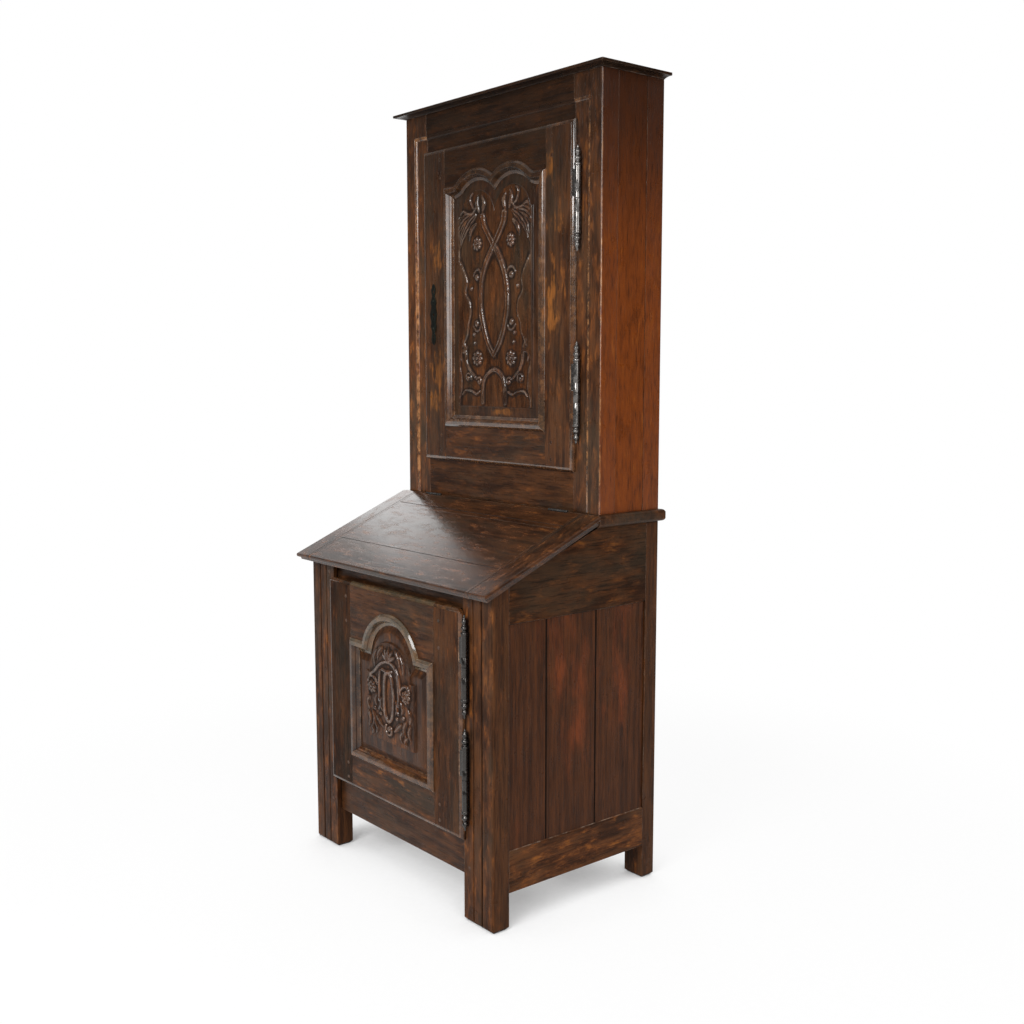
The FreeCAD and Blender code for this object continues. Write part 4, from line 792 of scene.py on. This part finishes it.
# Carved fields of the two doors. Places on a field are in millimetres, across from its middle line and up from its base
class Carving:
    """A carved field as a grid of heights over the flat face of a door panel."""

    def __init__(self, node, spacing):
        low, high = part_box(node)
        corners = np.array([corner.co for corner in nodes[node].data.vertices])
        face = corners[corners[:, 1] < low.y + weld_reach]
        self.face_y = low.y
        self.base = face[:, 2].min()
        half = face[:, 0].max()
        rim = face[face[:, 2] > (self.base + face[:, 2].max()) / 2]
        rim = rim[np.argsort(rim[:, 0])]
        across = np.linspace(-half, half, int(2 * half / spacing) + 1)
        tops = np.interp(across, rim[:, 0], rim[:, 2]) - self.base
        shares = np.linspace(0.0, 1.0, int(tops.max() / spacing) + 1)
        self.u = np.repeat(across[:, None], len(shares), axis=1) / mm
        self.v = tops[:, None] * shares[None, :] / mm
        self.top = tops / mm
        self.half = half / mm
        self.h = np.zeros_like(self.u)
        wander = 1.1 * np.sin(self.v / 23.0 + self.u / 41.0) + 0.6 * np.sin(self.u / 13.0 - self.v / 37.0)
        self.cut_u = self.u + wander
        self.cut_v = self.v + 0.9 * np.sin(self.u / 19.0 + self.v / 29.0)

    def lift(self, height):
        self.h = np.maximum(self.h, height)

    def near(self, points):
        """Distance of each grid point from a curve, and how far along the curve it lies, from 0 to 1."""
        best = np.full(self.u.shape, 1e6)
        along = np.zeros(self.u.shape)
        lengths = np.linalg.norm(np.diff(points, axis=0), axis=1)
        starts = np.concatenate([[0.0], np.cumsum(lengths)])
        for k, length in enumerate(lengths):
            if length < 1e-6:
                continue
            du, dv = (points[k + 1] - points[k]) / length
            pu = self.cut_u - points[k][0]
            pv = self.cut_v - points[k][1]
            t = np.clip(pu * du + pv * dv, 0.0, length)
            distance = np.hypot(pu - t * du, pv - t * dv)
            closer = distance < best
            best = np.where(closer, distance, best)
            along = np.where(closer, (starts[k] + t) / starts[-1], along)
        return best, along

    def strap(self, points, width, height, tip=1.0):
        """A rounded band along a curve; it thins towards its end by tip."""
        distance, along = self.near(smooth_curve(points))
        self.lift(height * half_round(distance / (width / 2 * (1.0 + (tip - 1.0) * along))))

    def band(self, points, width, height, ridge=1.0, tip=1.0):
        """A flat band along a curve, with a fine ridge along both edges."""
        distance, along = self.near(smooth_curve(points))
        inside = width / 2 * (1.0 + (tip - 1.0) * along) - distance
        flat = height * unit(inside / 1.8)
        self.lift(np.where(inside > 0.0, flat + ridge * np.exp(-((inside - 2.4) / 1.5) ** 2), 0.0))

    def acanthus(self, points, width, height, ridges=3):
        """A broad leaf along a curve, with ridges that run to its tip."""
        distance, along = self.near(smooth_curve(points))
        swell = np.sin(np.pi * unit(0.10 + 0.86 * along) ** 0.75)
        notch = 1.0 - 0.16 * (0.5 + 0.5 * np.cos(2 * np.pi * (ridges + 1) * along))
        share = unit(distance / np.maximum(width / 2 * swell * notch, 0.4))
        self.lift(height * half_round(share) * (0.62 + 0.38 * np.cos(np.pi * ridges * share)))

    def side_beads(self, width, height, top):
        """A half-round bead up both sides of the field, to a given height."""
        away = (self.half - np.abs(self.u) - width / 2) / (width / 2)
        self.lift(height * half_round(away) * unit((top - self.v) / width))

    def leaf(self, points, width, height):
        """A pointed leaf along a curve, with a middle vein."""
        distance, along = self.near(smooth_curve(points))
        swell = np.sin(np.pi * unit(0.08 + 0.90 * along) ** 0.8)
        share = unit(distance / np.maximum(width / 2 * swell, 0.4))
        body = height * (1.0 - share ** 2) ** 0.6 * (0.6 + 0.4 * swell)
        self.lift(np.where(share < 1.0, body - 0.30 * height * np.exp(-(distance / 1.3) ** 2), 0.0))

    def rosette(self, u, v, radius, height, petals):
        """A flower with a boss and rounded petals."""
        pu = self.cut_u - u
        pv = self.cut_v - v
        r = np.hypot(pu, pv) / radius
        turn = np.arctan2(pv, pu)
        petal = np.abs(np.cos(turn * petals / 2))
        reach = 0.80 + 0.20 * petal
        share = unit(r / reach)
        body = height * np.sqrt(1.0 - share ** 4) * (0.45 + 0.55 * petal ** 0.7)
        gap = unit((r - 0.30) / 0.10)
        self.lift(np.maximum(body * gap, 1.08 * height * half_round(r / 0.34)))

    def bud(self, u, v, radius, height):
        """A round bead."""
        r = np.hypot(self.cut_u - u, self.cut_v - v) / radius
        self.lift(height * half_round(r))

    def volute(self, u, v, radius, turns, start, spin, width, height):
        """A band wound into a scroll."""
        t = np.linspace(0.0, 1.0, 40)
        size = radius * (1.0 - 0.82 * t)
        angle = math.radians(start) + spin * 2 * math.pi * turns * t
        points = np.stack([u + size * np.cos(angle), v + size * np.sin(angle)], axis=1)
        distance, along = self.near(points)
        self.lift(height * half_round(distance / (width / 2 * (1.0 - 0.45 * along))))
        self.bud(u, v, radius * 0.30, height * 1.05)

    def border(self, contour, height, soft):
        """A raised edge outside a contour, given from low to high on one side and mirrored."""
        line = smooth_curve(contour)
        order = np.argsort(line[:, 1])
        edge = np.interp(self.cut_v, line[order, 1], line[order, 0])
        inside = (self.cut_v > line[:, 1].min()) & (self.cut_v < line[:, 1].max())
        self.lift(np.where(inside, height * unit((np.abs(self.cut_u) - edge) / soft), 0.0))

    def worn(self):
        self.h = (4 * self.h + neighbours(self.h)) / 8

    def crest(self, passes):
        """How far each point stands out from the ground about it, in millimetres."""
        soft = self.h
        for _ in range(passes):
            soft = neighbours(soft) / 4
        return self.h - soft

    def tooled(self, depth, seed):
        """Small gouge marks over the ground."""
        grit = np.random.default_rng(seed).normal(0.0, 1.0, self.h.shape)
        for _ in range(3):
            grit = (grit + np.roll(grit, 1, 0) + np.roll(grit, 1, 1) + np.roll(grit, -1, 1)) / 4
        marks = np.sin(self.cut_u / 2.6 + 1.7 * np.sin(self.cut_v / 9.0)) * np.sin(self.cut_v / 4.1)
        self.h = self.h + depth * (0.45 * marks + 1.1 * grit)

    def fade_out(self, margin):
        """Brings the ground back to the flat face along the field's edge."""
        gap = np.minimum(self.half - np.abs(self.u), np.minimum(self.v, self.top[:, None] - self.v))
        self.h = self.h * unit(gap / margin)

    def make(self, lift, sink):
        """A mesh maker: the carved face, its narrow sides and a flat back let into the panel."""
        def maker(shape):
            columns, rows = self.u.shape
            grid = [[shape.verts.new((self.u[i, j] * mm, self.face_y - (lift + max(self.h[i, j], 0.0)) * mm,
                                      self.base + self.v[i, j] * mm)) for j in range(rows)]
                    for i in range(columns)]
            for i in range(columns - 1):
                for j in range(rows - 1):
                    shape.faces.new((grid[i][j], grid[i + 1][j], grid[i + 1][j + 1], grid[i][j + 1]))
            loop = [grid[i][0] for i in range(columns)]
            loop += [grid[-1][j] for j in range(1, rows)]
            loop += [grid[i][-1] for i in range(columns - 2, -1, -1)]
            loop += [grid[0][j] for j in range(rows - 2, 0, -1)]
            back = [shape.verts.new((corner.co.x, self.face_y + sink * mm, corner.co.z)) for corner in loop]
            count = len(loop)
            for k in range(count):
                following = (k + 1) % count
                shape.faces.new((loop[k], loop[following], back[following], back[k]))
            shape.faces.new(back)
        return maker


def mirrored(cut, paths, **sizes):
    """Cuts each path and its mirror image."""
    for points in paths:
        for side in (-1, 1):
            cut([(side * u, v) for u, v in points], **sizes)


carving_lift = 0.2
carving_sink = 1.0
carving_spacing = 1.5 * mm
carving_angle = 60.0
crest_passes = 24
gouge_depth = 0.28
ground_margin = 4.0
rosette_height = 5.6
petal_count = 8


def flowers(field, rosettes, buds, bud_height):
    for side in (-1, 1):
        for u, v, radius in rosettes:
            field.rosette(side * u, v, radius, rosette_height, petal_count)
        for u, v, radius in buds:
            field.bud(side * u, v, radius, bud_height)


def weather(field, seed):
    field.worn()
    field.tooled(gouge_depth, seed)
    field.fade_out(ground_margin)


def set_in(field, door):
    carving = piece_from(door + "_carving", field.make(carving_lift, carving_sink), relief_wood, door,
                         field.crest(crest_passes))
    shade_smooth(carving, carving_angle)


# Upper door: an almond frame of crossing straps, rosettes, buds, scalloped borders and foot scrolls
almond_strap = [(0, 128), (-24, 160), (-42, 206), (-53, 258), (-49, 312), (-32, 352), (-6, 392), (20, 424),
                (38, 450), (42, 474)]
upper_contour = [(136, 20), (128, 52), (134, 92), (142, 116), (128, 150), (108, 180), (104, 204), (93, 232),
                 (97, 262), (113, 284), (108, 314), (124, 346), (140, 366)]
foot_contour = [(124, 164), (114, 134), (109, 109), (94, 89), (75, 72)]
foot_base = [(56, 36), (72, 30), (92, 38), (116, 40), (128, 28)]
arch_strap = [(-45, 8), (-43, 46), (-31, 76), (0, 92), (31, 76), (43, 46), (45, 8)]
shoulder_strap = [(66, 500), (82, 484), (104, 482), (126, 490), (140, 476)]
shoulder_curl = [(82, 538), (93, 520), (86, 500), (74, 492)]
side_leaves = [[(74, 478), (100, 462), (124, 434), (138, 398)], [(96, 478), (122, 470), (142, 448), (144, 420)]]
small_leaves = [[(44, 484), (38, 504), (48, 526)], [(58, 486), (66, 508), (60, 530)],
                [(72, 456), (92, 440), (100, 412)], [(126, 150), (136, 130), (128, 110)],
                [(112, 150), (122, 138), (140, 140)]]
upper_rosettes = [(66, 406, 17.0), (67, 121, 20.0)]
upper_buds = [(68, 324, 8.5), (67, 208, 8.5), (80, 182, 5.0), (92, 296, 4.5), (78, 160, 4.5)]
upper_eyes = [(103, 72, 13.0, 1.25, 200, -1), (58, 62, 11.0, 1.15, 30, 1)]
bud_collars = [[(52, 330), (58, 342), (72, 342), (82, 330)], [(52, 202), (58, 192), (72, 191), (82, 202)]]
bead_top = 494.0

upper = Carving("upper_door_panel", carving_spacing)
upper.border(upper_contour, height=2.8, soft=2.4)
mirrored(upper.band, [almond_strap], width=15.0, height=3.2, ridge=1.8, tip=1.1)
mirrored(upper.strap, [upper_contour[4:]], width=5.0, height=4.4)
mirrored(upper.band, [foot_contour], width=12.0, height=2.8, ridge=1.6, tip=0.7)
mirrored(upper.strap, [foot_base], width=7.0, height=4.2, tip=0.7)
upper.band(arch_strap, width=11.0, height=2.8, ridge=1.6)
mirrored(upper.strap, [shoulder_strap, shoulder_curl], width=7.0, height=4.4, tip=0.7)
mirrored(upper.acanthus, side_leaves, width=30.0, height=4.4)
mirrored(upper.leaf, small_leaves, width=14.0, height=4.2)
mirrored(upper.strap, bud_collars, width=5.0, height=3.0)
flowers(upper, upper_rosettes, upper_buds, bud_height=5.0)
for side in (-1, 1):
    for u, v, radius, turns, start, spin in upper_eyes:
        upper.volute(side * u, v, radius, turns, start if side > 0 else 180 - start, side * spin, width=6.0,
                     height=4.6)
weather(upper, seed=11)
upper.side_beads(width=9.0, height=2.6, top=bead_top)
set_in(upper, "upper_door")

# Lower door: a tall cartouche under a palmette, with rosettes and leaves
cartouche = [(-12, 166), (-18, 140), (-19, 104), (-14, 70), (0, 54), (14, 66), (19, 104), (18, 140), (12, 166),
             (0, 172), (-12, 166)]
cartouche_edge = [(-36, 172), (-41, 150), (-41, 112), (-33, 92), (-40, 78)]
roof_strap = [(-78, 158), (-58, 170), (-38, 186), (-18, 196), (2, 200), (22, 194), (38, 178), (47, 156), (52, 132)]
top_bar = [(-28, 176), (-8, 174), (14, 178)]
rosette_bands = [(88, 138), (80, 152), (64, 152), (50, 138)]
palmette_root = np.array((0.0, 204.0))
palmette_turns = [-66, -34, 0, 34, 66]
palmette_reach = 31.0
palmette_stretch = (1.0, 1.15)
arch_leaves = [[(28, 232), (42, 214), (46, 196)], [(48, 222), (60, 200), (60, 180)]]
lower_leaves = [[(82, 98), (90, 84), (84, 66)], [(70, 66), (62, 46), (74, 24)], [(52, 56), (40, 46), (22, 32)],
                [(88, 60), (82, 42), (90, 24)], [(60, 40), (50, 26), (56, 12)], [(78, 30), (68, 18), (76, 8)],
                [(30, 108), (34, 90), (26, 74)], [(50, 112), (58, 96), (52, 80)]]
lower_rosettes = [(73, 128, 18.0)]
lower_buds = [(40, 100, 6.0), (60, 74, 5.5), (34, 66, 5.0)]
bottom_scroll = (4, 34, 17.0, 1.2, 150, 1)

lower = Carving("lower_door_panel", carving_spacing)
lower.band(cartouche, width=10.0, height=3.4, ridge=1.8)
mirrored(lower.strap, [cartouche_edge], width=7.0, height=4.4)
lower.band(roof_strap, width=9.0, height=3.0, ridge=1.6)
lower.strap(top_bar, width=8.0, height=4.6)
mirrored(lower.band, [rosette_bands], width=8.0, height=3.0, ridge=1.4)
for turn in palmette_turns:
    out = palmette_reach * np.array((math.sin(math.radians(turn)), math.cos(math.radians(turn))))
    lower.leaf([palmette_root, palmette_root + out / 2, palmette_root + out * palmette_stretch], width=14.0,
               height=5.4)
mirrored(lower.acanthus, arch_leaves + lower_leaves, width=16.0, height=4.6, ridges=2)
flowers(lower, lower_rosettes, lower_buds, bud_height=4.4)
lower.volute(*bottom_scroll, width=8.0, height=5.6)
weather(lower, seed=23)
set_in(lower, "lower_door")


# Floor, light and camera
middle = (cad_low + cad_high) / 2
floor_radius = 9.0
floor_sides = 96
floor_gap = 0.2 * mm
floor_clear = 1.0
floor_gone = 2.0
floor_pale = (0.84, 0.84, 0.84, 1.0)
floor_white = (0.88, 0.88, 0.88, 1.0)
floor_lift = 0.90
floor_shade_reach = 0.22
floor_shade = 0.78
floor_samples = 12
speck_scale = 60.0


def floor_material():
    """A pale floor that a soft shadow marks near the feet and that turns white farther out."""
    tree = Material("white_floor")
    speck = tree.noise(tree.place, speck_scale, 2.0)
    color = tree.mix(tree.span(speck, 0.3, 0.7), floor_pale, floor_white)
    tree.finish(color, 0.9, specular_ior_level=0.0)
    light = tree.add("ShaderNodeLightPath").outputs
    distance = tree.add("ShaderNodeVectorMath", {0: tree.place}, operation="LENGTH").outputs["Value"]
    share = tree.span(distance, floor_clear, floor_gone, floor_lift, 1.0)
    shadow = tree.span(tree.hollows(floor_shade_reach, floor_samples), 0.05, 0.75)
    shadow = tree.times(shadow, tree.span(distance, floor_clear, floor_gone, floor_shade, 0.0))
    share = tree.times(share, tree.flip(shadow))
    white = tree.add("ShaderNodeEmission", {"Color": (1.0, 1.0, 1.0, 1.0), "Strength": 1.0}).outputs[0]
    seen = tree.greatest([light["Is " + ray + " Ray"] for ray in ("Camera", "Glossy", "Transmission")])
    seen = tree.times(seen, share)
    both = tree.add("ShaderNodeMixShader", {0: seen, 1: tree.surface.outputs[0], 2: white}).outputs[0]
    tree.links.new(both, tree.nodes["Material Output"].inputs["Surface"])
    return tree.material


stage_white = floor_material()


def disc(shape):
    bmesh.ops.create_circle(shape, cap_ends=True, segments=floor_sides, radius=floor_radius)


sweep_radius = 3.9
sweep_height = 3.4
sweep_spread = 47.0
sweep_steps = 32


def far_wall(shape):
    """A backdrop that stands round the far side of the floor, as the camera sees it."""
    rows = []
    for k in range(sweep_steps + 1):
        turn = math.radians(camera_turn + sweep_spread * (2 * k / sweep_steps - 1))
        x = middle.x - sweep_radius * math.sin(turn)
        y = middle.y + sweep_radius * math.cos(turn)
        rows.append([shape.verts.new((x, y, cad_low.z + height)) for height in (0.0, sweep_height)])
    for first, second in zip(rows, rows[1:]):
        shape.faces.new((first[0], second[0], second[1], first[1]))


dome_low = 0.14
dome_high = 0.70
dome_start = 0.22
dome_end = 0.75


def make_world():
    """A soft grey dome, brighter overhead."""
    world = bpy.data.worlds.new("studio")
    scene.world = world
    world.use_nodes = True
    tree = Tree(world.node_tree)
    place = tree.add("ShaderNodeTexCoord").outputs["Generated"]
    up = tree.add("ShaderNodeSeparateXYZ", {0: place}).outputs["Z"]
    background = tree.nodes["Background"].inputs
    tree.put(background["Color"], (1.0, 1.0, 1.0, 1.0))
    tree.put(background["Strength"], tree.span(up, dome_start, dome_end, dome_low, dome_high))


def softbox(name, place, target, width, height, radiance):
    lamp = made(bpy.data.lights.new(name, "AREA"), shape="RECTANGLE", size=width, size_y=height,
                energy=radiance * math.pi * width * height)
    turn = (Vector(target) - Vector(place)).to_track_quat("-Z", "Y").to_euler()
    made(placed(name, lamp), location=place, rotation_euler=turn, visible_camera=False)


def make_camera():
    camera = made(bpy.data.cameras.new("camera"), lens=camera_lens, sensor_fit="HORIZONTAL",
                  sensor_width=sensor_width)
    turn = (math.radians(90.0 - camera_dip), 0.0, math.radians(camera_turn))
    scene.camera = made(placed("camera", camera), location=camera_place, rotation_euler=turn)


floor = built("floor", disc, stage_white)
floor.location = (middle.x, middle.y, cad_low.z - floor_gap)
sweep = built("sweep", far_wall, stage_white)
sweep.data.shade_smooth()
make_world()
softbox("key", place=(1.2, -3.3, 2.7), target=(0.0, 0.0, 1.0), width=1.9, height=1.4, radiance=14.0)
softbox("right_fill", place=(3.4, -0.8, 2.1), target=(0.2, 0.1, 1.0), width=1.6, height=2.0, radiance=4.2)
softbox("lid_sheen", place=(-2.88, 1.8, 2.05), target=(0.0, -0.1, 0.85), width=2.0, height=1.6, radiance=2.4)
make_camera()
scene.view_settings.view_transform = "Standard"
